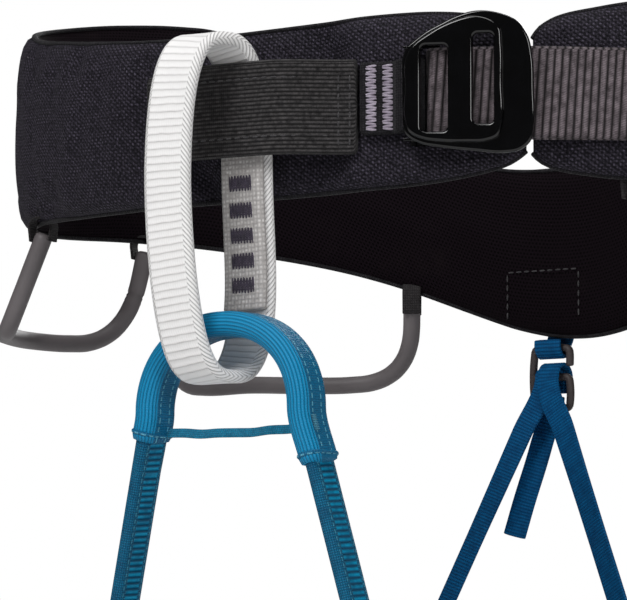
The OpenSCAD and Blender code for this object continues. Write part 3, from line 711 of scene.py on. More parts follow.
def padded_ring(name, station, point, zt, zb, depth, body, nodes, close_i, extra=None, tied=None):
    """A padded band. point(u, off, z) places it, depth(u) gives (middle, half thickness).
    tied(u, z) is 1 where something sewn on holds the cover down. extra adds folds to the outer face."""
    count, ci = 24, 16  # points up the outer face and back down the inner one
    def surface(us, co, ci):
        rows = []
        for u in us:
            hh, zm = (zt(u) - zb(u)) / 2 - 0.6, (zt(u) + zb(u)) / 2
            mid, ht = depth(u)
            o, i = pad_section(hh, ht, co, ci)
            both = np.concatenate([o, i[1:-1]])
            rows.append(point(u, mid + both[:, 0], zm + both[:, 1]))
        return np.array(rows)
    fine = surface(station, count, ci)
    n = len(station)
    sub = station[::3] if close_i else np.concatenate([station[:-1:3], station[-1:]])
    cc, cj = 12, 8
    coarse = surface(sub, cc, cj)
    pins = np.zeros(coarse.shape[:2], bool)
    pins[:, 0] = pins[:, cc - 1] = True
    if not close_i:
        pins[:2] = pins[-2:] = True
    move = puff(coarse, close_i, pins)
    outer = upsample(move[:, :cc], n, count, close_i)
    back = upsample(np.concatenate([move[:, cc - 1:], move[:, :1]], 1), n, ci, close_i) * 0.5
    if tied is not None:
        held = [[tied(u, fine[i, j, 2]) for j in range(count)] for i, u in enumerate(station)]
        outer = outer * (1 - np.array(held))[..., None]
    fine = fine + np.concatenate([outer, back[:, 1:-1]], 1)
    if extra is not None:
        fine[:, :count] += extra(station, fine[:, :count], count)
    loop = np.concatenate([fine, fine[:1]]) if close_i else fine
    s = arc(loop[:, count // 2])
    outer = fine[:, :count]
    inner = np.concatenate([fine[:, count - 1:], fine[:, :1]], 1)
    def across(p):
        q = np.concatenate([p, p[:1]]) if close_i else p
        d = np.linalg.norm(np.diff(q, axis=1), axis=2)
        w = np.concatenate([np.zeros((len(q), 1)), np.cumsum(d, 1)], 1)
        return w - w[:, -1:] / 2
    for label, p, mat, replaced, slot in (("outer", outer, M_SHELL, nodes[0], "shell_fabric"),
                                          ("inner", inner, M_LINER, nodes[1], "liner_mesh")):
        uu = np.repeat(s[:, None], p.shape[1], 1)
        ob = grid(name + "_" + label, p, uu, across(p), mat, body, replaced, close_i, flip=True)


def crease(us, pts, count):
    """Soft folds in the belt's shell, deepest at its lower left corner and beside the belay loop."""
    out = np.zeros_like(pts)
    for i, u in enumerate(us):
        nrm = belt_out(u)
        for j in range(count):
            z = pts[i, j, 2]
            edge = math.sin(math.pi * j / (count - 1)) ** 0.5
            d = 0.55 * noise.noise(Vector((u * 0.09, z * 0.03, 1.7)))
            d += 0.45 * noise.noise(Vector((u * 0.24 + z * 0.05, z * 0.05, 4.2)))
            for cu, cz, slope, deep, wide in FOLDS:
                x = (u - cu) * 2.4 - (z - cz) * slope
                fade = math.exp(-((z - cz) / 18.0) ** 2)
                d += deep * math.exp(-(x / wide) ** 2) * fade
            out[i, j] = nrm * d * edge
    return out


# Place round the belt, height, slope, depth and width of each fold.
FOLDS = [(-27, 8, 0.25, -0.9, 3.0), (-31, -4, 0.15, 0.7, 3.5), (-23, -2, -0.2, -0.6, 2.6),
         (-58, -14, -0.9, -1.4, 3.2), (-64, -8, -0.7, -1.0, 3.4), (-70, -4, -0.5, -0.9, 4.0),
         (13, 18, 0.5, -0.8, 3.0), (-44, 6, 0.3, -0.5, 4.5), (-300, 10, 0.4, -0.6, 4.0), (-84, 6, 0.4, -0.6, 5.0)]


def belt_depth(u):
    d = min(u - BELT_START, BELT_END - u) * 2.3
    k = math.sqrt(max(0.04, 1 - (1 - min(1, d / 6.0)) ** 2))
    r = recess(u)
    return (-THICK / 2 - r / 2, (THICK / 2 - r / 2 + 0.1) * k)


ends = np.array([0, 0.15, 0.35, 0.6, 0.9, 1.3, 1.8, 2.4, 3.1])
middle = np.linspace(BELT_START + 4, BELT_END - 4, 322)
STATIONS = np.concatenate([BELT_START + ends, middle, BELT_END - ends[::-1]])
padded_ring(
    "belt_pad", STATIONS, belt_pt, belt_zt, belt_zb, belt_depth, "waist_belt",
    (("belt_shell", "belt_foam"), ("belt_liner",)), False, crease)
# Edge bindings: a thin rolled tape along both seams.
for label, zf, k in (("top", belt_zt, -0.75), ("bottom", belt_zb, 0.75)):
    us = STATIONS[::2]
    path = [belt_pt(u, belt_depth(u)[0], zf(u) + k) for u in us]
    strap("belt_%s_edge" % label, path, [belt_out(u) for u in us], 1, 1, M_EDGE, "waist_belt",
          ("belt_%s_binding" % label,), step=2.0, section=ring_section(1.15, 0.8))


def on_belt_row(u0, u1, zf, off=0.15, count=40):
    us = np.linspace(u0, u1, count)
    pts, outs = [], []
    for u in us:
        mid, ht = belt_depth(u)
        pts.append(belt_pt(u, mid + ht + off, zf(u)))
        outs.append(belt_out(u))
    return pts, outs


seam_rows = []
p, o = on_belt_row(-100, -52, lambda u: belt_zt(u) - 6.5, -0.9)
seam_rows += stitch_row(p, o, 2.0, 1.4, 0.28, 0.25)
bars("belt_seam_stitches", seam_rows, M_GREY_THREAD, "waist_belt")


# ---------- Tie-in band ----------
BAND_MID, BAND_HALF = 3.4, 15.7  # degrees round the waist


def band_off(u):
    """How far the band stands off the belt: it arches over the gap that the belay loop passes through."""
    return 1.8 + 11 * smooth((BAND_HALF - abs(u - BAND_MID)) / 10)


us = np.linspace(BAND_MID - BAND_HALF, BAND_MID + BAND_HALF, 41)
sec = flat_section(15.25, 1.5, 30, 4)
strap("tie_in_band_webbing", [belt_pt(u, band_off(u), -0.25) for u in us], [0, 0, 1], 15.25, 1.5, M_BAND,
      "waist_belt", ("tie_in_band",), section=sec)
rows = []
for z in (9.2, -9.6):
    pts = [belt_pt(u, band_off(u) + 1.5, z) for u in us[4:-3]]
    rows += stitch_row(pts, [belt_out(u) for u in us[4:-3]], 2.1, 1.2, 0.3, 0.28)
for u in (BAND_MID + 15.2, BAND_MID + 13.8):
    pts = [belt_pt(u, band_off(u) + 1.5, z) for z in np.linspace(-13, 12.5, 12)]
    rows += stitch_row(pts, belt_out(u), 1.9, 1.0, 0.3, 0.28)
bars("tie_in_band_stitches", rows, M_BLACK_THREAD, "waist_belt")


# ---------- Belt webbing, buckle ----------
BUCKLE_U, WEB_Z = 35.0, 2.0
b_out = belt_out(BUCKLE_U)
b_turn = math.atan2(b_out[0], -b_out[1])
b_x = np.array([math.cos(b_turn), math.sin(b_turn), 0])
b_org = belt_pt(BUCKLE_U, 0, 4.5)


def buckle_at(x, y, z):
    """x along the belt, y up, z away from the belt."""
    return b_org + b_x * x + np.array([0, 0, y]) + b_out * z


def buckle_point(x, off):
    return buckle_at(x, WEB_Z - 4.5, off)


TURN_X, TURN_R, LOW = -10.8, 2.3, 2.6
HIGH = LOW + 2 * TURN_R
web = [belt_pt(u, 1.3, WEB_Z) for u in np.linspace(84, 47.5, 9)]
web += [buckle_point(x, LOW) for x in (12, 4, -5)]
web += [buckle_point(TURN_X + TURN_R * math.cos(a), LOW + TURN_R + TURN_R * math.sin(a))
        for a in np.radians(np.arange(-90, -271, -30))]
web += [buckle_point(x, HIGH) for x in (-5, 4, 13)]
web += [belt_pt(u, 4.4 + 1.6 * smooth((54 - u) / 8), WEB_Z) for u in np.linspace(47.5, 100, 12)]
strap("belt_webbing_strap", web, [0, 0, 1], 14.5, 1.0, M_BELTWEB, "waist_belt", ("belt_webbing",),
      section=flat_section(14.5, 1.0, 24, 3))
strap("webbing_hem", [belt_pt(u, 6.6, WEB_Z) for u in (95.5, 96.5, 97.5, 98.5, 99.6)], [0, 0, 1], 14.5, 1.0,
      M_BELTWEB, "waist_belt", ("webbing_tail_hem",))
rows = []
for u in (96.2, 98.8):
    pts = [belt_pt(u, 7.65, z) for z in np.linspace(WEB_Z - 13, WEB_Z + 13, 12)]
    rows += stitch_row(pts, belt_out(u), 1.8, 0.8)
bars("webbing_hem_stitches", rows, M_BLACK_THREAD, "waist_belt")
# Keeper: an elastic band round the tail.
k_out = belt_out(76)
k_org = belt_pt(76, 0, WEB_Z)
keeper = [k_org + k_out * a + np.array([0, 0, b]) for a, b in
          ((0.8, 16.4), (4.5, 16.6), (7.9, 16.0), (9.0, 13.5), (9.1, 6), (9.1, -6), (9.0, -13.5), (7.9, -16.0),
           (4.5, -16.6), (0.8, -16.4))]
strap("tail_keeper_band", keeper, np.cross(k_out, [0, 0, 1]), 6.0, 0.7, M_TAB, "waist_belt", ("tail_keeper",))
# The webbing loop round the buckle's bar, and its bartacks.
AX, AR = -17.8, 2.55
anchor = [belt_pt(u, 1.1, WEB_Z) for u in (20.2, 21.6, 24.3)]
anchor += [buckle_point(-22.5, 1.3)]
anchor += [buckle_point(AX + AR * math.cos(a), 4.35 + AR * math.sin(a))
           for a in np.radians(np.arange(-90, 91, 30))]
anchor += [buckle_point(-22.5, 5.2)] + [belt_pt(u, 3.0, WEB_Z) for u in (24.5, 22.9, 21.4, 20.2)]
strap("buckle_anchor_strap", anchor, [0, 0, 1], 11.5, 0.9, M_TAB, "waist_belt", ("buckle_anchor",),
      step=0.8)
rows = []
for u in (21.6, 23.85):
    across = np.cross([0, 0, 1.0], belt_out(u))
    rows += bartack(belt_pt(u, 4.0, WEB_Z), across, [0, 0, 1], belt_out(u), 3.5, 21, 24, 0.42)
bars("anchor_bartack_threads", rows, M_PALE, "waist_belt", ("anchor_bartacks",))


def plate_object(name, outline, holes, z0, z1, bevel, mat, body, replaced=(), place=buckle_at):
    """A flat plate with holes and rounded edges, from smooth closed outlines in the buckle's plane."""
    cu = bpy.data.curves.new(name, "CURVE")
    cu.dimensions = "2D"
    cu.fill_mode = "BOTH"
    cu.extrude = max(0.0, (z1 - z0) / 2 - bevel)
    cu.bevel_depth = bevel
    cu.bevel_resolution = 4
    cu.offset = -bevel
    for ring in [outline] + holes:
        sp = cu.splines.new("POLY")
        sp.points.add(len(ring) - 1)
        for k, q in enumerate(ring):
            sp.points[k].co = (q[0], q[1], 0, 1)
        sp.use_cyclic_u = True
    tmp = put(name + "_tmp", cu)
    dg = bpy.context.evaluated_depsgraph_get()
    got = tmp.evaluated_get(dg).to_mesh()
    verts = [place(v.co.x, v.co.y, (z0 + z1) / 2 + v.co.z) for v in got.vertices]
    faces = [list(f.vertices) for f in got.polygons]
    tmp.evaluated_get(dg).to_mesh_clear()
    bpy.data.objects.remove(tmp)
    uvs = np.zeros((sum(len(f) for f in faces), 2))
    ob = make_mesh(name, verts, faces, uvs, mat, body, replaced)
    mod = ob.modifiers.new("weld", "WELD")
    mod.merge_threshold = 0.00001
    edge = ob.modifiers.new("edge", "EDGE_SPLIT")
    edge.split_angle = math.radians(40)


def smooth_ring(points, step=0.8):
    p = resample([(x, y, 0) for x, y in points], step, True)
    return [(q[0], q[1]) for q in p]


def rounded(x0, x1, y0, y1, r, n=6):
    out = []
    for cx, cy, a0 in ((x1 - r, y1 - r, 0), (x0 + r, y1 - r, 90), (x0 + r, y0 + r, 180), (x1 - r, y0 + r, 270)):
        angles = [math.radians(a0 + 90 * k / n) for k in range(n + 1)]
        out += [(cx + r * math.cos(a), cy + r * math.sin(a)) for a in angles]
    return out


OUTLINE = [(-20.7, 9), (-21.0, 2), (-20.9, -8), (-20.7, -13), (-19.9, -15.4), (-18.2, -17.0), (-15, -18.6),
           (-9, -19.8), (2, -21.2), (12, -22), (16, -21.4), (19.6, -18.6), (20.7, -14), (20.8, -2), (20.4, 8),
           (18.8, 15), (15.5, 19.6), (10.5, 22), (2, 23), (-3.5, 21.6), (-8.5, 19.3), (-13, 17), (-16.6, 14.4),
           (-19.2, 12.2)]
WINDOWS = [rounded(-15.4, -5.6, -15.6, 12.8, 1.6), rounded(1.2, 9, -13.4, 16.2, 1.6)]
plate_object("buckle_slider_rim", smooth_ring(OUTLINE), WINDOWS, 9.0, 11.0, 0.75, M_GLOSS, "buckle_slider",
             ("buckle_slider",))
inner = [(-19.6, 8), (-19.8, 0), (-19.6, -12), (-18.8, -14.6), (-17, -16.2), (-14, -17.4), (-8, -18.3),
         (0, -18.6), (6, -18.4), (9.6, -17), (10.9, -13), (11.1, 0), (11.0, 12), (10.2, 17.6), (7.0, 20.0),
         (1, 21.2), (-4, 20.0), (-12.6, 15.8), (-17.6, 12.0)]
windows2 = [rounded(-14.8, -6.2, -15.0, 12.2, 1.6), rounded(1.8, 8.4, -12.8, 15.6, 1.6)]
plate_object("buckle_slider_frame", smooth_ring(inner), windows2, 10.2, 12.6, 0.9, M_GLOSS, "buckle_slider")
for part, y in (("low", -17.5), ("high", 11.6)):
    ear = [(AX + x, z) for x, z in
           ((-2.9, 9.6), (-2.9, 4.4), (-2, 2.3), (0, 1.45), (2, 2.3), (2.9, 4.4), (2.9, 9.6))]
    plate_object("buckle_ear_" + part, ear, [], y, y + 0.9, 0.2, M_GLOSS, "buckle_slider",
                 place=lambda a, b, c: buckle_at(a, c, b))


# ---------- Belay loop ----------
LOOP_W, LOOP_T, LOOP_H, LOOP_D = 17.5, 4.3, 112.0, 36.4
L_MID = (-98.6 - LOOP_D / 2, 24 - LOOP_H / 2)


def pow_sign(v, p):
    return np.sign(v) * np.abs(v) ** p


def loop_pt(a, off):
    hd, hh = LOOP_D / 2 - LOOP_T / 2 + off, LOOP_H / 2 - LOOP_T / 2 + off
    c, s = pow_sign(math.cos(a), 2 / 2.8), pow_sign(math.sin(a), 2 / 2.8)
    z = L_MID[1] + hh * s
    return np.array([7 + 4.2 * c + 3 * smooth((-20 - z) / 60), L_MID[0] + hd * c, z])


def loop_angle(z):
    q = (z - L_MID[1]) / (LOOP_H / 2 - LOOP_T / 2)
    return math.asin(pow_sign(q, 2.8 / 2))


angles = [math.radians(a - 7 * math.sin(math.radians(2 * a))) for a in np.arange(0, 360, 4)]
strap("belay_loop_strap", [loop_pt(a, 0) for a in angles], [1, 0, 0], LOOP_W / 2, LOOP_T / 2, M_BELAY,
      "belay_loop", ("belay_loop_webbing",), closed=True,
      section=flat_section(LOOP_W / 2, LOOP_T / 2, 16, 6))
lap_off = -(LOOP_T + 2.8) / 2 - 0.1
strap("belay_loop_lap_strap", [loop_pt(loop_angle(z), lap_off) for z in np.linspace(-66, 8, 16)], [1, 0, 0],
      LOOP_W / 2 - 0.6, 1.4, M_LAP, "belay_loop", ("belay_loop_lap",))
rows = []
for z in (-22.4, -32, -41, -50, -58.6):
    a = loop_angle(z)
    c = loop_pt(a, lap_off - 1.4)
    along = unit(loop_pt(a + 0.02, lap_off) - loop_pt(a - 0.02, lap_off))
    out = unit(np.cross(along, [1, 0, 0]))
    if out[1] > 0:
        out = -out
    rows += bartack(c, along, [1, 0, 0], out, 5.0, 8.8, 15, 0.27)
    for x in (-1.3, 1.3):
        half = np.array([4.3, 0, 0])
        rows.append((c + along * x - half, c + along * x + half, out, 0.3, 0.3))
bars("belay_loop_bartack_threads", rows, M_DARK, "belay_loop", ("belay_loop_bartacks",))

# ---------- Tie-in bridge ----------
BX, BY, BZ = 15.5, L_MID[0], -98.0


def leg_line(side, z):
    return np.array([BX + side * (30 + (BZ - z) * 0.26), BY + (BZ - z) * 0.07, z])


def arch_pt(a):
    return np.array([BX + 30 * pow_sign(math.sin(a), 2 / 2.2), BY, BZ + 28.5 * pow_sign(math.cos(a), 2 / 2.2)])


def bridge_path(zr, zl):
    deg = [10 * k - 4 * math.sin(math.radians(40 * k)) for k in range(-9, 10)]
    return [leg_line(RIGHT, zr)] + [arch_pt(math.radians(a)) for a in deg] + [leg_line(LEFT, zl)]


strap("bridge_sleeve_cover", bridge_path(-103.5, -112.5), [0, 1, 0], SLEEVE_HW, SLEEVE_HT, M_SLEEVE, "leg_bridge",
      ("bridge_sleeve",), section=flat_section(SLEEVE_HW, SLEEVE_HT, 12, 14))
strap("bridge_core", bridge_path(-118, -118), [0, 1, 0], 6.2, 2.05, M_LADDER, "leg_bridge", ("bridge_webbing",))
for side, label, z in ((RIGHT, "right", -103.2), (LEFT, "left", -112.2)):
    p = leg_line(side, z)
    d = unit(leg_line(side, z - 1) - p)
    ring = []
    for a in np.linspace(0, 2 * math.pi, 40, endpoint=False):
        ca, sa = math.cos(a), math.sin(a)
        ex = (SLEEVE_HT - 0.2) * pow_sign(ca, 0.8)
        ey = (SLEEVE_HW - 0.2) * pow_sign(sa, 0.5)
        ring.append(p + unit(np.cross(d, [0, 1, 0])) * ex + np.array([0, ey, 0]) - d * 0.4)
    tube("sleeve_hem_" + label, ring, 0.75, M_SLEEVE, "leg_bridge", sides=8, step=1.0,
         closed=True)
kz = -102.8
x0 = leg_line(RIGHT, kz)[0] + SLEEVE_HT + 0.1
x1 = leg_line(LEFT, kz)[0] - SLEEVE_HT - 0.1
keep = [[mix(x0, x1, k / 8), BY + 3 + 0.25 * math.sin(k * 1.9),
         kz - 0.8 * math.sin(math.pi * k / 8) + 0.18 * math.sin(k * 2.3)] for k in range(9)]
strap("bridge_keeper_tape", keep, [0, 0.4, 0.9], 1.6, 0.5, M_KEEP, "leg_bridge", ("bridge_keeper",), step=0.8)
rows = []
for k in range(9):
    z = -99.5 - k * 0.55
    rows.append((leg_line(LEFT, z) + np.array([4.2, -4.2, 0]), leg_line(LEFT, z + 0.2) + np.array([4.2, -1.4, 0]),
                 [1, 0, 0.25], 0.24, 0.25))
bars("sleeve_end_tack", rows, M_BLUE_THREAD, "leg_bridge")

# ---------- Straps from the bridge down to the leg loops ----------
TAB_V, STRAP_V = 196, -16  # where the riser's tab and this strap are sewn to the leg loop, degrees round it
PIVOT = (BY + 4, -168.0)
for side, label in ((RIGHT, "right"), (LEFT, "left")):
    q = leg_line(side, PIVOT[1])
    p = np.array([local_x(side, q[0]), q[1], q[2]])
    end = leg_pt(STRAP_V, 4.3, -231)
    path, wid = [], []
    for z in np.linspace(-104 if side < 0 else -112, -156, 8):
        w = leg_line(side, z)
        path.append(w)
        wid.append([0, 1, 0])
    for k in range(0, 7):
        a = mix(p, np.array([p[0] + 6, p[1], p[2] - 26]), min(1, k / 3))
        b = mix(np.array([end[0], end[1], -206]), end, max(0, (k - 3) / 3))
        t = smooth((k - 0.5) / 3.5)
        s2 = smooth((k - 1) / 3)
        path.append(mirrored(mix(a, b, t), side))
        w = np.array([s2, mix(1, -0.3, s2), 0.02])
        if side < 0:
            w[0] = -w[0]
        wid.append(w)
    ob = strap("bridge_strap_%s_webbing" % label, path, wid, 6.25, 2.1, M_LADDER, None)
    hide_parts("bridge_strap_%s" % label, "leg_strap_%s" % label)
    x, y, z = leg_line(side, PIVOT[1]) * MM
    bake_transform(ob)

# ---------- Leg loops ----------
LEG_V = np.linspace(0, 360, 120, endpoint=False)


def leg_zt(v):
    return leg_edge(v, LEG_TOP)


def leg_zb(v):
    return leg_edge(v, LEG_BOTTOM)


def leg_at(side, v, off, z):
    return mirrored(leg_pt(v, off, z), side)


def leg_out(side, v):
    return leg_at(side, v, 1, 0) - leg_at(side, v, 0, 0)


def leg_along(side, v):
    return leg_at(side, v + 1, 0, 0) - leg_at(side, v - 1, 0, 0)


for side, label in ((RIGHT, "right"), (LEFT, "left")):
    body = label + "_leg"
    vs = LEG_V if side > 0 else LEG_V[::-1]
    padded_ring("leg_pad_" + label, vs, lambda v, o, z, side=side: leg_at(side, v, o, z), leg_zt, leg_zb,
                lambda v: (-3.5, 3.55), body,
                (("leg_shell_" + label, "leg_foam_" + label), ("leg_liner_" + label,)), True, tied=lambda v, z: math.exp(-((z - (leg_zt(v) + leg_zb(v)) / 2) / 11.5) ** 4))
    dense = LEG_V[::2]
    outs = [leg_out(side, v) for v in dense]
    for part, zf, k in (("top", leg_zt, -0.75), ("bottom", leg_zb, 0.75)):
        strap("leg_%s_edge_%s" % (part, label), [leg_at(side, v, -3.5, zf(v) + k) for v in dense], outs, 1, 1,
              M_EDGE, body, ("leg_%s_binding_%s" % (part, label),), closed=True, step=2.0,
              section=ring_section(1.1, 0.8))
    strap("leg_webbing_%s_strap" % label, [leg_at(side, v, 1.05, (leg_zt(v) + leg_zb(v)) / 2) for v in dense],
          [0, 0, 1], 8, 0.8, M_LEGWEB, body, ("leg_webbing_" + label,), closed=True)
    zt = leg_zt(TAB_V)
    tab = [leg_at(side, TAB_V, o, zt + z) for o, z in ((0.2, -17), (0.9, -10), (1.2, -2), (1.2, 2), (1.25, 5))]
    tang = leg_along(side, TAB_V)
    strap("riser_tab_%s_strap" % label, tab, tang, 8, 0.8, M_RISER, body, ("riser_tab_" + label,))
    rows = bartack(leg_at(side, TAB_V, 1.9, zt - 11), tang, [0, 0, 1], leg_out(side, TAB_V), 11, 3.4, 7)
    bars("riser_tab_tack_" + label, rows, M_BLACK_THREAD, body)
    rows = bartack(leg_at(side, STRAP_V, 6.5, -226), leg_along(side, STRAP_V), [0, 0, 1],
                   leg_out(side, STRAP_V), 9, 4, 8)
    bars("leg_strap_tack_" + label, rows, M_BLUE_THREAD, body)

# ---------- Gear loops ----------
SPANS = [[-48.2, -109], [-116, -157.2], [-300, -256], [-249, -211.5]]
LOWS = [-61.6, -74.5, -61.6, -74.5]
NAMES = ["right_front", "right_rear", "left_front", "left_rear"]
GEAR_DROP, GEAR_IN, GEAR_R = 4.4, -4.5, 3.1


def low_edge(u):
    return min(belt_zb(u - 3), belt_zb(u), belt_zb(u + 3))


def gear_hinge(i, e):
    u = SPANS[i][e]
    return belt_pt(u, GEAR_IN, low_edge(u) - GEAR_DROP)


def bend(a, b, c, r, n):
    p, q = b + r * unit(a - b), b + r * unit(c - b)
    return [(1 - t) ** 2 * p + 2 * t * (1 - t) * b + t * t * q for t in np.linspace(0, 1, n + 1)]


def gear_path(i):
    sp, z = SPANS[i], LOWS[i]
    def on(s, off, zz):
        return belt_pt(mix(sp[0], sp[1], s), off, zz)
    a, e = gear_hinge(i, 0), gear_hinge(i, 1)
    b, c1, c2, d = on(0.05, 6.2, z), on(0.35, 7, z + 1.5), on(0.56, 6, z + 1.2), on(0.97, 3.5, z + 1)
    radius = min(27, 0.82 * np.linalg.norm(e - d))
    return ([a, mix(a, b, 0.35)] + bend(a, b, c1, 9, 4) + [c1, c2] + bend(c2, d, e, radius, 6)
            + [mix(d, e, 0.92), e])


for i, nm in enumerate(NAMES):
    path = gear_path(i)
    tube("gear_loop_%s_tube" % nm, path, GEAR_R, M_GEAR, "gear_" + nm, ("gear_loop_" + nm,), sides=20)
    for e in (0, 1):
        p = gear_hinge(i, e)
        u = SPANS[i][e]
        top = max(4.0, belt_zb(u) - p[2] + 2.5)
        q = unit((gear_hinge(i, 1 - e) - p) * np.array([1, 1, 0]))
        out = np.array([-q[1], q[0], 0])
        half = 3.7
        fold = [p + out * half * k + np.array([0, 0, z]) for k, z in
                ((-0.95, -0.8), (-1.0, 1.0), (-0.98, top - 1.6), (-0.6, top - 0.3), (0.0, top), (0.6, top - 0.3),
                 (0.98, top - 1.6), (1.0, 1.0), (0.95, -0.8))]
        strap("gear_tab_%s_%d" % (nm, e), fold, q, 3.3, 0.45, M_GEARTAB, "waist_belt", ("gear_loop_tabs",),
              step=0.7)

# ---------- Haul loop, riser anchor, hook, risers ----------
HZ = -14.0
y0 = HALF_D + 3.2
haul = [[0, y0 + y, HZ + z] for y, z in
        ((-1, 1), (-0.6, -8), (-0.4, -28), (0, -36), (1.8, -40.5), (5, -41.5), (7.6, -38.5), (8.2, -32),
         (7.4, -20), (5.4, -9), (3.2, -3.6), (2.1, 1))]
strap("haul_loop_strap", haul, [1, 0, 0], 8, 0.9, M_BELTWEB, "haul_loop", ("haul_loop",))
patch = [[0, HALF_D + o, HZ + z] for o, z in ((1.2, 15.2), (2.6, 14.2), (4.2, 10), (4.7, 5), (4.7, 2.4))]
strap("haul_patch", patch, [1, 0, 0], 12, 0.7, M_TAB, "waist_belt", ("haul_loop_tab",))
rows = []
for z in (8.5, 12.0):
    rows += bartack([0, HALF_D + (4.9 if z < 9 else 4.1), HZ + z], [1, 0, 0], [0, 0, 1], [0, 1, 0.1], 17, 2.2, 4)
bars("haul_tacks", rows, M_GREY_THREAD, "waist_belt")
HY, HTOP = HALF_D - 4.5, -63.4
astrap = [[0, HY - 3, -60.7], [0, HY - 3, HTOP], [0, HY - 1.5, HTOP - 2.3],
          [0, HY, HTOP - 3], [0, HY + 1.5, HTOP - 2.3], [0, HY + 3, HTOP], [0, HALF_D + 1.2, -59],
          [0, HALF_D + 1.2, -52]]
strap("riser_anchor_webbing", astrap, [1, 0, 0], 5.5, 0.7, M_RISER, "waist_belt", ("riser_anchor_strap",))
rows = []
for x in (-15, 15):
    rows += stitch_row([[x, HALF_D - THICK - 1.5, z] for z in np.linspace(-53, -36, 8)], [0, -1, 0])
rows += stitch_row([[x, HALF_D - THICK - 1.6, -36] for x in np.linspace(-15, 15, 8)], [0, -1, 0])
bars("rear_liner_stitches", rows, M_BLACK_THREAD, "waist_belt")


def corners(points, r, n=4):
    p = [np.array(q, float) for q in points]
    out = [p[0]]
    for a, b, c in zip(p, p[1:], p[2:]):
        out += bend(a, b, c, min(r, np.linalg.norm(a - b) * 0.45, np.linalg.norm(c - b) * 0.45), n)
    return out + [p[-1]]


HX, HMID, HLOW = 7.4, -73.7, -84.6
wire = [[x, HY, z] for x, z in ((HX, -69.0), (HX, HTOP), (-HX, HTOP), (-HX, HLOW), (HX, HLOW), (HX, HMID),
                                (-HX, HMID))]
tube("riser_hook_wire", corners(wire, 1.8), 1.4, M_HOOK, "rear_risers", ("riser_hook",), sides=14, step=0.5)


def riser_turn(side, k):
    if side < 0:
        return 0.3 * smooth(k / 3)
    return mix(-0.25 * smooth(k / 3), 0.3, smooth((k - 5.5) / 2.5))


for side, label, r in ((RIGHT, "right", 2.6), (LEFT, "left", 4.6)):
    q = leg_pt(TAB_V, 4.7, leg_zt(TAB_V))
    x = local_x(side, side * 1.2)
    top = np.array([x, HY - r, HMID - 1])
    path = [[x, HY + r, HMID - 5]]
    path += [[x, HY + r * math.cos(a), HMID + r * math.sin(a)] for a in np.radians(np.arange(0, 145, 24))]
    wid = [[1, 0, 0]] * len(path)
    path += [mix(top, np.array([q[0], q[1], q[2] + 10]), k / 7) for k in range(8)]
    path += [[q[0], q[1], q[2] + 5], [q[0], q[1], q[2] - 9]]
    wid += [[1, riser_turn(side, k), 0.3 * smooth(k / 2) * (1 - smooth(k / 9))] for k in range(10)]
    path = mirrored(path, side)
    wid = np.array(wid, float)
    if side < 0:
        wid[:, 0] *= -1
    ob = strap("riser_%s_webbing" % label, path, wid, 4.4, 0.7, M_RISER, "rear_risers", ("riser_" + label,),
               step=1.2)
    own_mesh(ob)
tail = [[-1.2, HY + 2.6, -80.2], [-2, HY + 2.6, -86], [-3.6, HY + 1.2, -92], [-5.6, HY - 2.2, -104],
        [-9, HY - 4.5, -117], [-12, HY - 6.5, -129.5]]
strap("riser_tail_webbing", tail, [0.97, 0.1, -0.2], 4.4, 0.7, M_RISER, "rear_risers", ("riser_tail",))

# Kept from the CAD: the buckle's base.
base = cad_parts["buckle_base"]
base.data.materials.clear()
base.data.materials.append(M_GLOSS)

# ---------- Stage, light and camera ----------
def area(name, place, aim, size, power, color=(1, 1, 1), size_y=None):
    li = bpy.data.lights.new(name, "AREA")
    li.shape = "RECTANGLE"
    li.size, li.size_y = size, size_y or size
    li.energy, li.color = power, color
    ob = put(name, li)
    ob.location = place
    ob.rotation_euler = (Vector(aim) - Vector(place)).to_track_quat("-Z", "Y").to_euler()


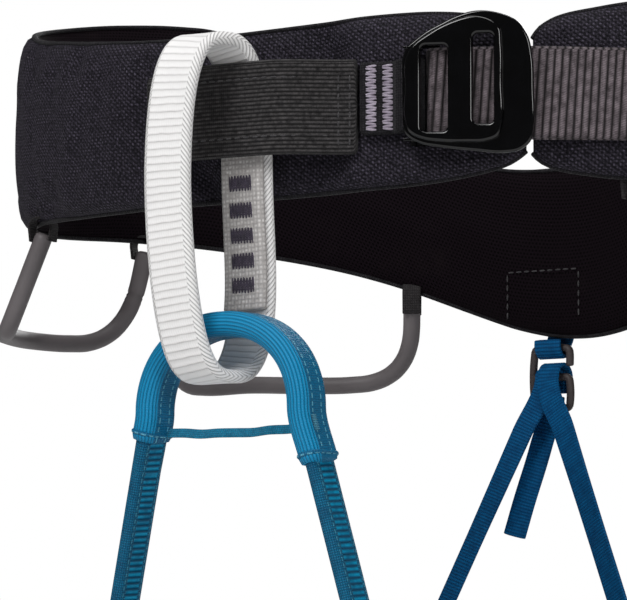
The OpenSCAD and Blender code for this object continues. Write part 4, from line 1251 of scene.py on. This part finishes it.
area("key", (0.0, -1.5, 1.2), (0, -0.05, -0.08), 0.8, 21)
area("fill", (1.5, -0.9, 0.5), (0.05, -0.05, -0.08), 0.6, 10)
area("top", (0.1, 0.1, 1.6), (0, 0, -0.1), 1.0, 10)
area("back", (-0.6, 1.5, 0.5), (0, 0, -0.1), 0.8, 9)
world = bpy.data.worlds.new("studio")
bpy.context.scene.world = world
world.use_nodes = True
wt = world.node_tree
bg = wt.nodes["Background"]
bg.inputs[0].default_value = (1, 1, 1, 1)
bg.inputs[1].default_value = 0.07
seen = wt.nodes.new("ShaderNodeBackground")
seen.inputs[0].default_value = (1, 1, 1, 1)
seen.inputs[1].default_value = 1.0
path_node = wt.nodes.new("ShaderNodeLightPath")
mixer = wt.nodes.new("ShaderNodeMixShader")
wt.links.new(path_node.outputs["Is Camera Ray"], mixer.inputs[0])
wt.links.new(bg.outputs[0], mixer.inputs[1])
wt.links.new(seen.outputs[0], mixer.inputs[2])
wt.links.new(mixer.outputs[0], wt.nodes["World Output"].inputs[0])
bpy.context.scene.view_settings.view_transform = "Standard"

floor_me = bpy.data.meshes.new("floor")
FLOOR_HALF, FLOOR_Z = 6, -0.29
square = [(x * FLOOR_HALF, y * FLOOR_HALF, FLOOR_Z) for x, y in ((-1, -1), (1, -1), (1, 1), (-1, 1))]
floor_me.from_pydata(square, [], [(0, 1, 2, 3)])
g = Graph("floor_pale")
g.finish((0.8, 0.8, 0.8), None, 0, 0.7, spec=0.2)
floor_me.materials.append(g.mat)
floor = put("floor", floor_me)

FOCAL_PX, IMAGE_W = 4650, 627
cam_data = bpy.data.cameras.new("camera")
cam_data.sensor_width, cam_data.sensor_fit = 36.0, "HORIZONTAL"
cam_data.lens = FOCAL_PX * cam_data.sensor_width / IMAGE_W
cam_data.clip_end = 50
cam = put("camera", cam_data)
az, el, dist = math.radians(36), math.radians(-5), 1.5
aim = Vector((0.0195, -0.0774, -0.0591))
cam.location = aim + Vector((math.sin(az) * math.cos(el), -math.cos(az) * math.cos(el), math.sin(el))) * dist
cam.rotation_euler = (aim - cam.location).to_track_quat("-Z", "Y").to_euler()
bpy.context.scene.camera = cam
